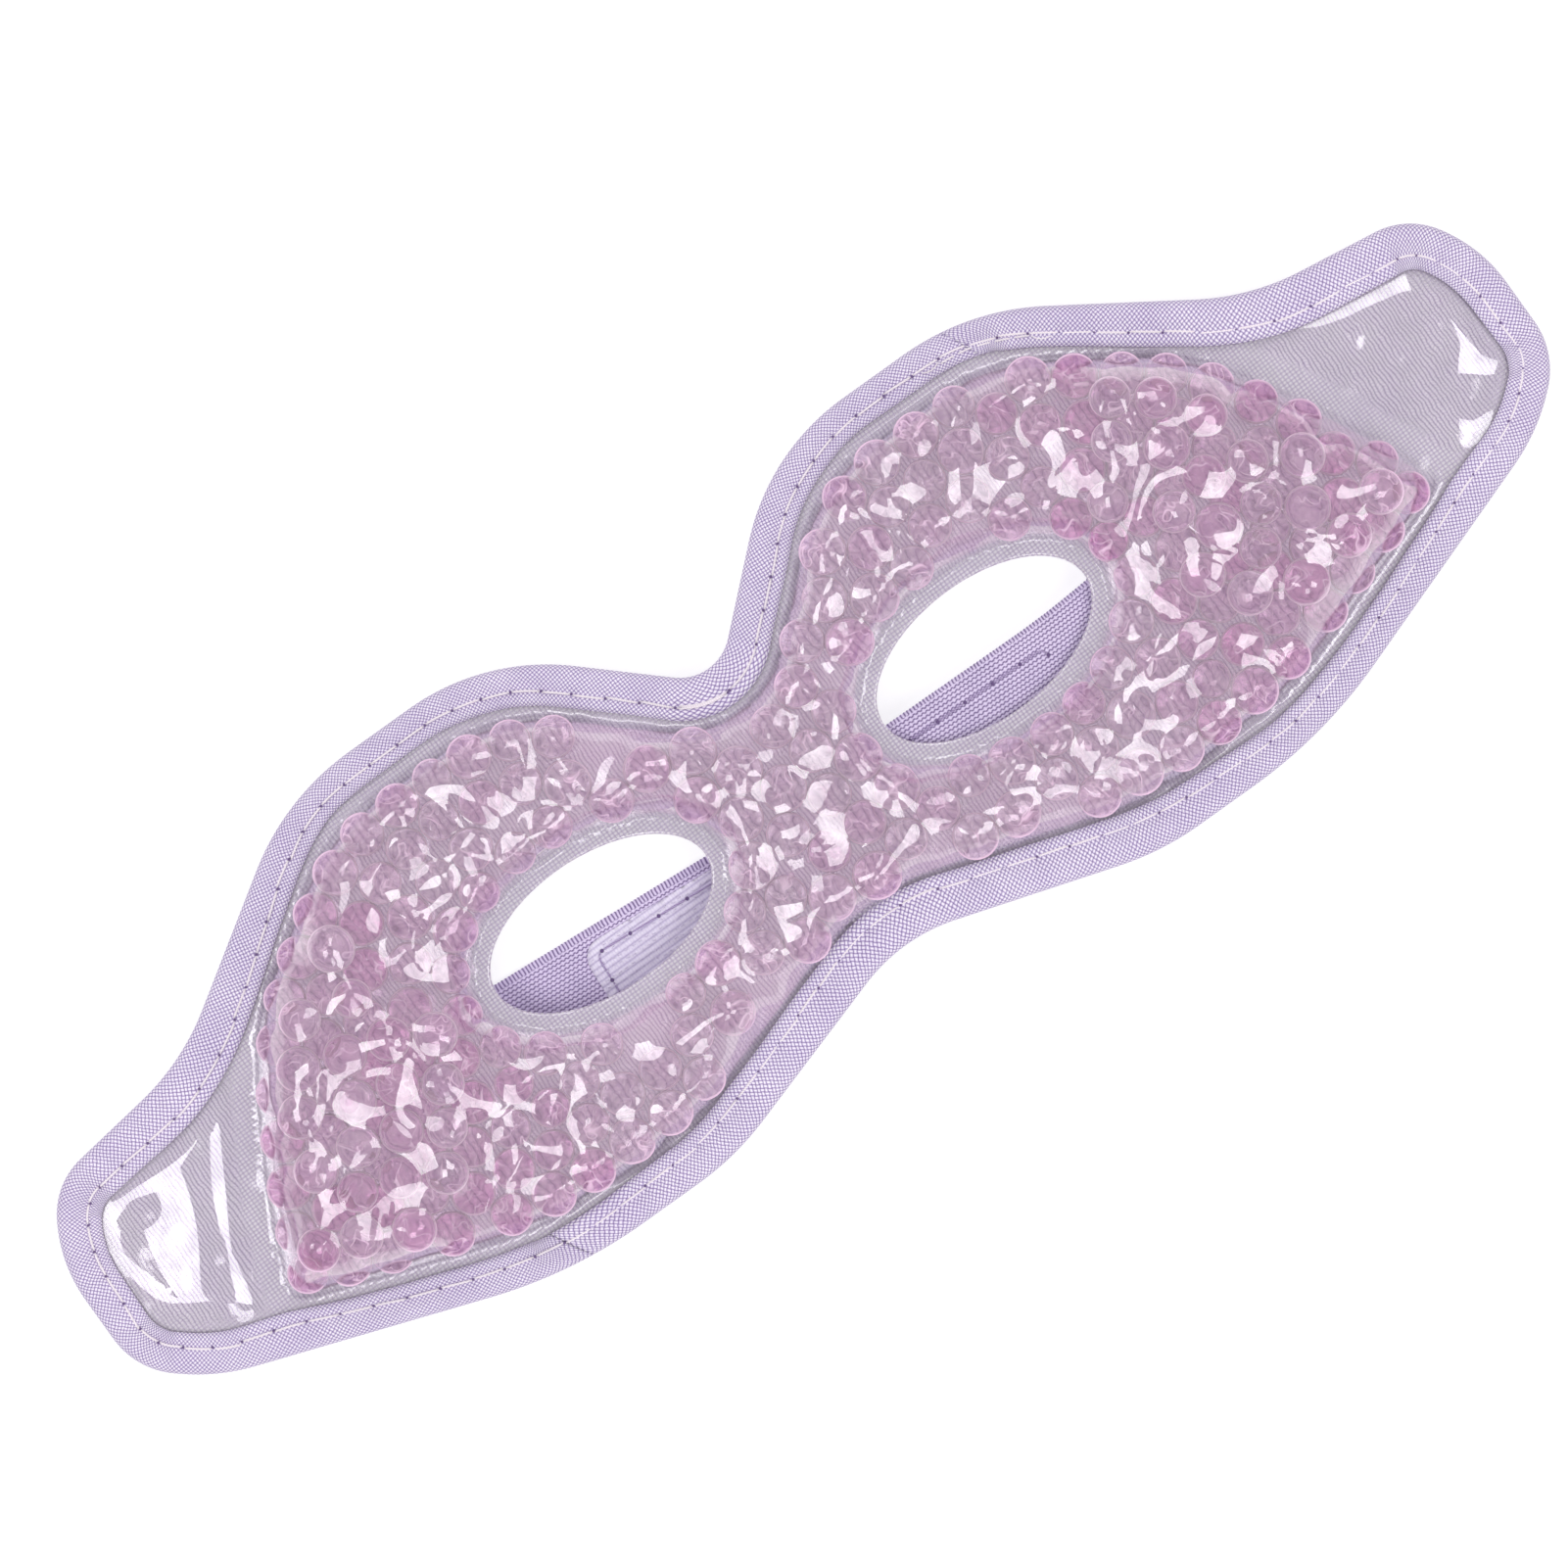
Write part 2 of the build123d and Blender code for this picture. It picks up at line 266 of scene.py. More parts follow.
GRID_X, GRID_Y = np.meshgrid(Field.xs, Field.ys)
GRID_XY = np.column_stack([GRID_X.ravel(), GRID_Y.ravel()])


def soft_least(*values, blend=1.6):
    """The least of several distances, with its inner corners rounded."""
    total = sum(np.exp(-v / blend) for v in values)
    return -blend * np.log(total)


def lobe_distance():
    """How far each place of the grid lies inside the thick end lobes."""
    x, y = GRID_XY.T
    in_circle = (LOBE_RADIUS - np.hypot(np.abs(x) - LOBE_X, y)).reshape(WALLS.values.shape)
    return soft_least(WALLS.values - LOBE_INSET, in_circle, blend=0.8)


def seam_distance():
    """How far each place of the grid lies inside the curved seams at the tabs."""
    x, y = GRID_XY.T
    return SEAM_RADIUS - np.hypot(np.abs(x) + SEAM_CENTRE[0], y - SEAM_CENTRE[1])


EDGE = Field(inside_distance(OUTLINE, GRID_XY))
EYES = Field(-np.maximum(*[inside_distance(eye_loop(side, 0), GRID_XY) for side in (1, -1)]))
SEAMS = Field(seam_distance())
WALLS = Field(soft_least(EDGE.values - CHAMBER_INSET, EYES.values - RING_WELD, SEAMS.values, blend=0.8))
LOBES = Field(lobe_distance())

# ======== beads
BEAD_RADIUS = 3.32
BEAD_SPREAD = 0.14
BEAD_PITCH = 6.5
BEAD_GAP = 0.35
SETTLE_STEPS = 320
SHAKEN_STEPS = 160
BRIDGE_HALF = 15.5
LOBE_START = 54.0
UPPER_LEVEL = 13.4
LAYER_LEVELS = (11.6, 16.2)
# places where the beads have moved apart and the pouch shows bare: (x, y, radius)
BARE_SPOTS = [
    (38.0, 17.5, 4.6),
    (19.0, -19.0, 5.6),
    (18.0, 24.5, 5.0),
    (-28.5, 28.0, 5.0),
    (-16.0, 7.0, 3.4),
    (2.0, -8.5, 3.0),
]


def bead_seeds(rng):
    """Starting places for the beads: a loose grid in the chamber, and a second layer in the lobes."""
    seeds = []
    rows = np.arange(-HALF_WIDTH, HALF_WIDTH, BEAD_PITCH * math.sqrt(3) / 2)
    for layer, field in enumerate((WALLS, LOBES)):
        for number, y in enumerate(rows + 2.0 * layer):
            xs = np.arange(-HALF_LENGTH, HALF_LENGTH, BEAD_PITCH) + BEAD_PITCH / 2 * ((number + layer) % 2)
            keep = field.at(xs, np.full_like(xs, y)) > 2.2
            seeds += [(x, y, LAYER_LEVELS[layer]) for x in xs[keep]]
    seeds = np.array(seeds)
    for x, y, radius in BARE_SPOTS:
        seeds = seeds[np.hypot(seeds[:, 0] - x, seeds[:, 1] - y) > radius]
    return seeds + rng.normal(0, 0.6, seeds.shape)


def settle_beads():
    """Beads pushed apart, off the walls and down, until they lie as a loose packing."""
    rng = np.random.default_rng(SEED)
    centres = bead_seeds(rng)
    radii = np.clip(rng.normal(BEAD_RADIUS, BEAD_SPREAD, len(centres)), 2.95, 3.6)
    reach = radii[:, None] + radii[None]
    for step in range(SETTLE_STEPS):
        centres += rng.normal(0, 0.16, centres.shape) * max(0, 1 - step / SHAKEN_STEPS)
        centres[:, 2] -= 0.05
        apart = centres[:, None] - centres[None]
        distance = np.linalg.norm(apart, axis=2) + np.eye(len(centres)) * 99
        overlap = np.maximum(reach - distance, 0)
        centres += 0.42 * (apart / distance[:, :, None] * overlap[:, :, None]).sum(1)
        x, y = centres[:, 0], centres[:, 1]
        short = np.maximum(radii * 0.9 + 0.1 - WALLS.at(x, y), 0)
        centres[:, :2] += WALLS.slope(x, y) * short[:, None]
        for spot_x, spot_y, radius in BARE_SPOTS:
            away = centres[:, :2] - (spot_x, spot_y)
            off = np.linalg.norm(away, axis=1) + 1e-6
            push = np.maximum(radius + 1.6 - off, 0) * 0.3
            centres[:, :2] += away / off[:, None] * push[:, None]
        ceiling = CHAMBER_TOP + (LOBE_TOP - CHAMBER_TOP) * smooth_step(LOBES.at(x, y), -2.0, 2.5)
        low, high = FILM_LOW + BEAD_GAP + radii, ceiling - radii - BEAD_GAP
        centres[:, 2] = np.maximum(np.minimum(centres[:, 2], high), low)
    overlap = np.maximum(reach - distance, 0).max(1)
    return centres, radii - np.minimum(overlap * 0.5, 0.25)


def bead_region(x, y, z):
    """The name of the part of the mask in which a bead lies."""
    side = "right" if x > 0 else "left"
    if abs(x) < BRIDGE_HALF:
        return "bridge"
    if abs(x) > LOBE_START:
        return ("upper_lobe_" if z > UPPER_LEVEL else "lobe_") + side
    return ("brow_" if y > EYE_CENTRE[1] else "cheek_") + side


BEADS, BEAD_RADII = settle_beads()


# ======== mesh helpers
def face_all_outwards(mesh):
    work = bmesh.new()
    work.from_mesh(mesh)
    bmesh.ops.recalc_face_normals(work, faces=work.faces)
    work.to_mesh(mesh)
    work.free()


def make_piece(name, shape, material, slot, *nodes, body="mask", outwards=True, weld=None):
    """A smooth-shaded piece from (points, faces, uv), which stands for the CAD nodes and rides on the body.

    The points are in millimetres, and uv has one place for each face corner.
    """
    points, faces, uv = shape
    mesh = bpy.data.meshes.new(name)
    mesh.from_pydata((points * MM).tolist(), [], [list(map(int, f)) for f in faces])
    layer = mesh.uv_layers.new(name="UVMap")
    layer.data.foreach_set("uv", uv.astype(np.float32).ravel())
    if weld is not None:
        values = weld(points[:, 0], points[:, 1]).astype(np.float32)
        mesh.attributes.new("weld", "FLOAT", "POINT").data.foreach_set("value", values)
    if outwards:
        face_all_outwards(mesh)
    mesh.shade_smooth()
    mesh.materials.append(material)
    piece = bpy.data.objects.new(name, mesh)
    bpy.context.scene.collection.objects.link(piece)
    if nodes:
        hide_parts(*nodes)
    if body:
        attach(piece, body)
    return piece


def ring_quads(rows, size):
    """The corners of the faces between rows of closed rings, each of the given size."""
    i, j = np.meshgrid(np.arange(rows - 1), np.arange(size), indexing="ij")
    k = (j + 1) % size
    return np.stack([i * size + j, (i + 1) * size + j, (i + 1) * size + k, i * size + k], -1)


def ring_girth(rings, closing):
    """How far round the middle ring each point lies, and a last place after the closing side."""
    girth = way_along(rings[len(rings) // 2])
    return np.append(girth, girth[-1] + closing)


def sweep(rings, along, girth):
    """A closed tube over a row of rings, with end caps, and UVs in millimetres."""
    count, size = rings.shape[:2]
    quads = ring_quads(count, size)
    j = quads[..., 0] % size
    v = np.stack([girth[j], girth[j], girth[j + 1], girth[j + 1]], -1)
    uv = np.stack([along[quads // size], v], -1).reshape(-1, 2)
    faces = quads.reshape(-1, 4).tolist()
    faces.append(list(range(size))[::-1])
    faces.append([(count - 1) * size + n for n in range(size)])
    caps = np.stack([np.repeat([along[0], along[-1]], size), np.tile(girth[:size], 2)], -1)
    return rings.reshape(-1, 3), faces, np.vstack([uv, caps])


def join_shapes(shapes):
    """Several (points, faces, uv) shapes as one."""
    points, faces, uv, base = [], [], [], 0
    for p, f, t in shapes:
        points.append(p)
        faces += [[base + n for n in face] for face in f]
        uv.append(t)
        base += len(p)
    return np.vstack(points), faces, np.vstack(uv)


def thread_shape(path, radius, sides=7):
    """A round thread along a short 3-D path, thinner at its two ends."""
    tangent = unit(np.gradient(path, axis=0))
    across = np.cross(tangent, [0, 0, 1.0])
    across /= np.linalg.norm(across, axis=1)[:, None] + 1e-9
    up = np.cross(across, tangent)
    turns = np.linspace(0, 2 * math.pi, sides, endpoint=False)
    size = np.full(len(path), radius)
    size[[0, -1]] *= 0.6
    ring = across[:, None] * np.cos(turns)[None, :, None] + up[:, None] * np.sin(turns)[None, :, None]
    rings = path[:, None] + ring * size[:, None, None]
    return sweep(rings, way_along(path), np.linspace(0, 2 * math.pi * radius, sides + 1))


def sheet_shape(loops, inner, keep, top, bottom):
    """A sheet with thickness over a plan. keep says which places are on it; top and bottom are its levels."""
    edges, base = [], 0
    for loop in loops:
        count = len(loop)
        edges += [(base + n, base + (n + 1) % count) for n in range(count)]
        base += count
    plan = np.vstack(loops + [inner])
    found = geometry.delaunay_2d_cdt([Vector(p) for p in plan.tolist()], edges, [], 0, 1e-6)
    xy = np.array([tuple(v) for v in found[0]])
    triangles = np.array([f for f in found[2] if len(f) == 3])
    middles = xy[triangles].mean(1)
    triangles = triangles[keep(middles)]
    used, triangles = np.unique(triangles, return_inverse=True)
    xy, triangles = xy[used], triangles.reshape(-1, 3)
    count = len(xy)
    sides = np.vstack([triangles[:, [0, 1]], triangles[:, [1, 2]], triangles[:, [2, 0]]])
    keys = np.sort(sides, axis=1)
    _, first, uses = np.unique(keys, axis=0, return_index=True, return_counts=True)
    rim = sides[first[uses == 1]]
    walls = np.column_stack([rim[:, 1], rim[:, 0], rim[:, 0] + count, rim[:, 1] + count])
    x, y = xy[:, 0], xy[:, 1]
    points = np.vstack([np.column_stack([xy, top(x, y)]), np.column_stack([xy, bottom(x, y)])])
    faces = triangles.tolist() + (triangles[:, ::-1] + count).tolist() + walls.tolist()
    corners = np.concatenate([triangles.ravel(), triangles[:, ::-1].ravel(), (walls % count).ravel()])
    return points, faces, xy[corners]


def edge_loop(inset, step=GRID):
    """The mask's outline moved inwards."""
    return resample(OUTLINE + OUTLINE_NORMALS * inset, step, True)


def plan_points(spacing, keep):
    """Points of a slightly staggered grid where keep is true."""
    xs = np.arange(-HALF_LENGTH, HALF_LENGTH, spacing)
    ys = np.arange(-HALF_WIDTH, HALF_WIDTH, spacing * math.sqrt(3) / 2)
    x, y = np.meshgrid(xs, ys)
    x = x + (np.arange(len(ys)) % 2)[:, None] * spacing / 2
    xy = np.column_stack([x.ravel(), y.ravel()])
    return xy[keep(xy)]


# lines of points round each eye and inside the binding, close together where the film is pressed
RING_LINES = (0.4, 0.8, 1.15, 1.4, 1.65, 2.0, 2.35, 2.65, 2.95, 3.25, 3.5)
RIM_LINES = (6.4, 6.8, 7.2, 7.6)


def whole_plan(inset, fine, coarse):
    """Loops and inner points of a sheet that covers the mask, finer inside the chamber."""
    loops = [edge_loop(inset, 0.8)] + [eye_loop(side, 0.0, 0.7) for side in (1, -1)]
    lines = [eye_loop(side, grow, 0.55) for side in (1, -1) for grow in RING_LINES]
    if fine < 1:
        lines += [edge_loop(place, 0.6) for place in RIM_LINES]

    def clear(xy):
        return (EDGE.at(*xy.T) > inset + 0.5) & (EYES.at(*xy.T) > 3.7)

    def in_chamber(xy):
        return WALLS.at(*xy.T) > -0.6

    dense = plan_points(fine, lambda xy: clear(xy) & in_chamber(xy) & (EDGE.at(*xy.T) > 7.9))
    loose = plan_points(coarse, lambda xy: clear(xy) & ~in_chamber(xy))
    loose = loose[(EDGE.at(*loose.T) > 8.0) | (EDGE.at(*loose.T) < 6.0)]
    return loops, np.vstack(lines + [dense, loose])


def on_mask(inset):
    return lambda xy: (EDGE.at(*xy.T) > inset - 0.3) & (EYES.at(*xy.T) > -0.05)


# ======== materials
WHITE = (1.0, 1.0, 1.0)


class Value:
    """What a node puts out. Arithmetic on it adds math nodes to its material."""

    def __init__(self, shade, socket):
        self.shade, self.socket = shade, socket

    def __add__(self, other):
        return self.shade.math("ADD", self, other)

    def __sub__(self, other):
        return self.shade.math("SUBTRACT", self, other)

    def __rsub__(self, other):
        return self.shade.math("SUBTRACT", other, self)

    def __mul__(self, other):
        return self.shade.math("MULTIPLY", self, other)


class Shade:
    """One node material, with short calls for its nodes."""

    def __init__(self, name):
        self.material = bpy.data.materials.new(name)
        self.material.use_nodes = True
        self.tree = self.material.node_tree
        self.body = self.tree.nodes["Principled BSDF"]
        self.surface = Value(self, self.body.outputs[0])

    def feed(self, socket, value):
        if isinstance(value, Value):
            self.tree.links.new(value.socket, socket)
        else:
            socket.default_value = value

    def node(self, kind, feeds=(), output=0, **settings):
        """Adds a node, feeds its inputs by number or name, and gives one of its outputs."""
        node = self.tree.nodes.new("ShaderNode" + kind)
        for key, value in settings.items():
            setattr(node, key, value)
        for key, value in dict(feeds).items():
            self.feed(node.inputs[key], value)
        return Value(self, node.outputs[output])

    def math(self, operation, first, second=0.0, clamp=False):
        return self.node("Math", {0: first, 1: second}, operation=operation, use_clamp=clamp)

    def wave(self, value, period, power=1.0):
        """A ridge from 0 to 1 that repeats each period."""
        ridge = self.math("ABSOLUTE", self.math("SINE", value * (math.pi / period)))
        return ridge if power == 1.0 else self.math("POWER", ridge, power)

    def uv(self):
        return self.node("TexCoord", output="UV")

    def place(self):
        """The piece's own place in millimetres, as two values."""
        whole = {0: self.uv()}
        return self.node("SeparateXYZ", whole), self.node("SeparateXYZ", whole, output=1)

    def weld(self):
        """The piece's weld attribute: 1 where film and cloth are welded together."""
        return self.node("Attribute", output="Fac", attribute_name="weld")

    def slant(self):
        """0 where the surface faces the eye, and 1 where it is seen edge on."""
        return self.node("LayerWeight", output="Facing")

    def noise(self, scale, detail=2.0, distortion=0.0, vector=None):
        feeds = {"Vector": vector or self.uv(), "Scale": scale, "Detail": detail, "Distortion": distortion}
        return self.node("TexNoise", feeds, noise_dimensions="2D")

    def ramp(self, factor, *stops):
        """A colour ramp. Each stop is (place, red, green, blue)."""
        colour = self.node("ValToRGB", {0: factor})
        elements = colour.socket.node.color_ramp.elements
        while len(elements) < len(stops):
            elements.new(0.5)
        for element, (place, *levels) in zip(elements, stops):
            element.position = place
            element.color = (*levels, 1.0)
        return colour

    def tones(self, factor, *stops):
        """A colour ramp whose colours are display values from 0 to 255."""
        return self.ramp(factor, *[(place, *srgb(*colour)) for place, *colour in stops])

    def fade(self, factor, low, high, most):
        """A value that grows from 0 to most as the factor goes from low to high."""
        return self.ramp(factor, (low, 0.0, 0.0, 0.0), (high, most, most, most))

    def blend(self, factor, first, second, kind="MIX"):
        feeds = {0: factor, 6: first, 7: second}
        return self.node("Mix", feeds, output=2, data_type="RGBA", blend_type=kind)

    def clouded(self, colour, noise, spread, dark):
        """A colour with soft darker patches in it."""
        patches = self.ramp(noise, (0.5 - spread, *dark), (0.5 + spread, *WHITE))
        return self.blend(1.0, colour, patches, "MULTIPLY")

    def bump(self, height, distance):
        return self.node("Bump", {"Strength": 1.0, "Distance": distance * MM, "Height": height})

    def shader(self, kind, colour):
        return self.node("Bsdf" + kind, {0: (*colour, 1.0)})

    def mix(self, factor, first, second):
        return self.node("MixShader", {0: factor, 1: first, 2: second})

    def lit_through(self, surface, tint):
        """Lets lamps shine straight through a clear surface on to the cloth behind it."""
        shadow = self.node("LightPath", output="Is Shadow Ray")
        lit = self.mix(shadow, surface, self.shader("Transparent", tint))
        self.feed(self.tree.nodes["Material Output"].inputs["Surface"], lit)

    def finish(self, **inputs):
        for name, value in inputs.items():
            self.feed(self.body.inputs[name.replace("_", " ")], value)
        return self.material


def srgb(*colour):
    """Linear light for a colour given as display values from 0 to 255."""
    levels = [value / 255 for value in colour]
    return tuple(v / 12.92 if v <= 0.04045 else ((v + 0.055) / 1.055) ** 2.4 for v in levels)


def weave_material():
    """Plain-woven bias tape: threads at 45 degrees to its edges."""
    shade = Shade("binding_weave")
    along, across = shade.place()
    pitch, diagonal, wander = 0.48, math.sqrt(0.5), 0.25
    warp = (along + across) * diagonal + shade.noise(0.6) * wander
    weft = (along - across) * diagonal + shade.noise(0.5) * wander
    cells = shade.math("FLOOR", warp * (1 / pitch)) + shade.math("FLOOR", weft * (1 / pitch))
    over = shade.math("PINGPONG", cells, 1.0)
    threads = shade.wave(warp, pitch, 0.7) * over + shade.wave(weft, pitch, 0.7) * (1.0 - over)
    gap = shade.wave(warp, pitch, 0.6) * shade.wave(weft, pitch, 0.6)
    height = threads * (gap * 0.55 + 0.45)
    deep, middle = (0.0, 84, 64, 120), (0.26, 166, 146, 196)
    colour = shade.tones(height, deep, middle, (0.6, 219, 204, 236), (1.0, 255, 250, 255))
    return shade.finish(
        Base_Color=shade.clouded(colour, shade.noise(0.16, 3.0), 0.25, (0.9, 0.88, 0.93)),
        Roughness=0.72,
        Sheen_Weight=0.25,
        Sheen_Roughness=0.4,
        Normal=shade.bump(height, 0.12),
    )


def knit_material():
    """Warp-knitted backing: wales across the mask with slanted loops, and dots pressed in by welding."""
    shade = Shade("backing_knit")
    u, v = shade.place()
    x = u + shade.noise(0.35, 3.0) * 0.9
    y = v + shade.noise(0.5) * 0.5
    wale_pitch, course_pitch, dot_pitch = 0.6, 0.45, (0.62, 0.55)
    course = shade.wave(y + shade.wave(x, 2 * wale_pitch) * 0.3, course_pitch, 0.7)
    height = shade.wave(x, wale_pitch, 0.8) * (course * 0.55 + 0.45)
    cloth = shade.tones(height, (0.0, 138, 114, 156), (0.35, 211, 195, 226), (1.0, 252, 244, 255))
    dots = shade.wave(u, dot_pitch[0], 1.4) * shade.wave(v, dot_pitch[1], 1.4)
    pressed = shade.tones(dots, (0.0, 182, 166, 200), (0.3, 233, 222, 244), (0.7, 255, 253, 255))
    colour = shade.blend(shade.weld(), cloth, pressed)
    return shade.finish(
        Base_Color=shade.clouded(colour, shade.noise(0.09, 3.0), 0.2, (0.9, 0.88, 0.92)),
        Roughness=0.8,
        Sheen_Weight=0.2,
        Normal=shade.bump(height, 0.14),
    )


def elastic_material():
    """Knitted elastic: lengthwise rows of pin-holes between ribbed edges."""
    shade = Shade("elastic_knit")
    along, across = shade.place()
    along = along + shade.noise(0.4) * 0.4
    row_pitch, hole_pitch, ribbed_from = 0.6, 0.74, 9.2
    row = shade.math("FLOOR", across * (1 / row_pitch))
    stagger = shade.math("PINGPONG", row, 1.0) * (hole_pitch / 2)
    stitch = shade.wave(along + stagger, hole_pitch, 1.3)
    groove = shade.wave(across, row_pitch, 1.3)
    face = shade.math("POWER", 1.0 - (1.0 - stitch) * (1.0 - groove), 2.2)
    face = face * (shade.wave(across, 2 * row_pitch, 0.5) * 0.12 + 0.88)
    # across runs over one face of the band and back under the other
    one_face = STRAP_WIDTH + 1.0
    from_middle = shade.math("ABSOLUTE", shade.math("PINGPONG", across, one_face) - one_face / 2)
    edge = shade.math("GREATER_THAN", from_middle, ribbed_from)
    height = shade.wave(along, RIB_PITCH, 0.8) * edge + face * (1.0 - edge)
    deep, middle = (0.0, 78, 60, 104), (0.3, 146, 124, 174)
    colour = shade.tones(height, deep, middle, (0.65, 194, 174, 217), (1.0, 232, 218, 246))
    return shade.finish(
        Base_Color=shade.clouded(colour, shade.noise(0.2), 0.2, (0.9, 0.9, 0.92)),
        Roughness=0.75,
        Sheen_Weight=0.2,
        Normal=shade.bump(height, 0.16),
    )


def tape_material(name, dark, light, rib):
    """Hook or loop tape ground: fine lengthwise ribs with a fuzzy tone."""
    shade = Shade(name)
    along, across = shade.place()
    ribs = shade.wave(across, rib, 0.8) * (shade.wave(along, 0.45, 0.6) * 0.4 + 0.6)
    tone = ribs * 0.65 + shade.noise(3.5, 3.0) * 0.35
    colour = shade.tones(tone, (0.15, *dark), (0.6, *light), (1.0, 244, 238, 250))
    return shade.finish(Base_Color=colour, Roughness=0.7, Sheen_Weight=0.3, Normal=shade.bump(tone, 0.12))


def thread_material(name, low, middle, high):
    """Twisted two-ply sewing thread."""
    shade = Shade(name)
    along, across = shade.place()
    twist = shade.wave(along + across * 0.8, 0.34, 0.8)
    colour = shade.tones(twist, (0.0, *low), (0.4, *middle), (1.0, *high))
    return shade.finish(Base_Color=colour, Roughness=0.5, Sheen_Weight=0.15, Normal=shade.bump(twist, 0.06))


def hole_shade_material():
    """Painted shade for a needle hole: a dark colour that stands for the shadowed cloth and thread inside it.
    """
    shade = Shade("needle_hole_shade")
    colour = shade.tones(shade.noise(4.0), (0.3, 92, 72, 116), (0.8, 124, 102, 148))
    return shade.finish(Base_Color=colour, Roughness=0.9)


def clear_sheet_material(name, tint, roughness, haze, gloss=(0.055, 0.8), milk=0.0, cloud=(236, 226, 242)):
    """Thin clear plastic: see-through, with a mirror gloss that grows at a slant, and milky where welded."""
    shade = Shade(name)
    mirror = shade.math("POWER", shade.slant(), 3.0) * gloss[1] + gloss[0]
    smear = shade.fade(shade.noise(0.25, 3.0), 0.4, 0.8, haze)
    mirror = shade.math("ADD", mirror, smear, clamp=True)
    surface = shade.mix(mirror, shade.shader("Transparent", tint), shade.surface)
    surface = shade.mix(shade.weld() * 0.1 + milk, surface, shade.shader("Diffuse", srgb(*cloud)))
    shade.lit_through(surface, tint)
    return shade.finish(Base_Color=(*WHITE, 1.0), Metallic=1.0, Roughness=roughness)


def bead_material(name, pale, middle, deep):
    """Gel beads, little denser than the gel round them: clear pink, with painted highlights: a pale rim where
    the bead is seen edge on, and fine pale curls that stand for glints inside it, over a faint milky tone.
    """
    shade = Shade(name)
    island = shade.node("NewGeometry", output="Random Per Island")
    x, y = shade.place()
    seat = shade.node("CombineXYZ", {0: x + island * 91.0, 1: y + island * 57.0})
    # painted glints: thin pale curls from noise that stand for reflections inside each bead
    off = shade.math("ABSOLUTE", shade.noise(0.34, 1.0, 0.5, seat) - 0.5)
    painted_glint_lines = shade.math("SUBTRACT", 1.0, off * 45.0, clamp=True)
    # painted highlight: a pale rim where the bead is seen edge on
    rim = shade.fade(shade.slant(), 0.5, 0.74, 0.85)
    milk_and_painted_highlights = shade.math("ADD", shade.math("MAXIMUM", rim, painted_glint_lines * 0.5), 0.05, clamp=True)
    # pale diffuse paint for the painted rim and glints, and a faint milky tone all over
    highlight_paint = shade.shader("Diffuse", srgb(255, 221, 246))
    shade.lit_through(shade.mix(milk_and_painted_highlights, shade.surface, highlight_paint), (0.999, 0.988, 0.995))
    return shade.finish(
        Base_Color=shade.ramp(island, (0.0, *deep), (0.5, *middle), (1.0, *pale)),
        Roughness=0.0,
        IOR=1.19,
        Transmission_Weight=1.0,
        Normal=shade.bump(shade.noise(0.8, 1.0), 0.06),
    )


WEAVE = weave_material()
KNIT = knit_material()
ELASTIC = elastic_material()
TAPES = {
    "hook": tape_material("hook_tape", (186, 173, 207), (226, 217, 239), 0.9),
    "loop": tape_material("loop_tape", (160, 144, 186), (206, 194, 222), 0.7),
}
THREAD = thread_material("sewing_thread", (206, 178, 204), (246, 230, 243), (255, 250, 255))
STRAP_THREAD = thread_material("strap_thread", (112, 90, 140), (158, 136, 184), (196, 178, 216))
# painted shade for the needle holes
HOLE_SHADE = hole_shade_material()
FRONT_CLEAR = clear_sheet_material("clear_film", (0.992, 0.988, 0.993), 0.02, 0.05)
BACK_CLEAR = clear_sheet_material("back_film", (0.99, 0.985, 0.99), 0.08, 0.03)
GEL_TINT = (0.998, 0.98, 0.992)
GEL_CLEAR = clear_sheet_material("carrier_gel", GEL_TINT, 0.0, 0.0, (0.02, 0.12), 0.13, (254, 212, 242))
PALE_BEAD = bead_material("gel_bead", (0.995, 0.95, 0.99), (0.99, 0.88, 0.965), (0.985, 0.78, 0.93))
PINK_BEAD = bead_material("gel_bead_deep", (0.99, 0.88, 0.965), (0.985, 0.76, 0.92), (0.975, 0.62, 0.85))


# ======== bead pieces
def bead_shape(centre, radius, rng, segments=30, rings=18):
    """One bead: a slightly flattened ball with a faint dent or two."""
    around = np.linspace(0, 2 * math.pi, segments, endpoint=False)
    down = np.linspace(0, math.pi, rings + 1)[1:-1]
    a, d = np.meshgrid(around, down)
    unit = np.stack([np.sin(d) * np.cos(a), np.sin(d) * np.sin(a), np.cos(d)], -1).reshape(-1, 3)
    unit = np.vstack([unit, [[0, 0, 1], [0, 0, -1]]])
    dent = 0.018 * np.sin(unit @ rng.normal(0, 1.8, 3) + rng.uniform(0, 6.28))
    points = unit * (radius * (1 + dent))[:, None] * np.array([1.0, 1.0, rng.uniform(0.93, 1.0)])
    quads = ring_quads(rings - 1, segments).reshape(-1, 4)
    north, south = (rings - 1) * segments, (rings - 1) * segments + 1
    last = (rings - 2) * segments
    caps = [[north, n, (n + 1) % segments] for n in range(segments)]
    caps += [[south, last + (n + 1) % segments, last + n] for n in range(segments)]
    points = points + centre
    corners = np.concatenate([quads.ravel(), np.array(caps).ravel()])
    return points, quads.tolist() + caps, points[corners][:, :2]


def needle_hole_shade(place, radius, flatness, rng):
    """A flattened ball, painted dark, that fills one needle hole as painted shade."""
    points, faces, uv = bead_shape(np.zeros(3), radius, rng, 10, 6)
    return points * [1, 1, flatness] + place, faces, uv


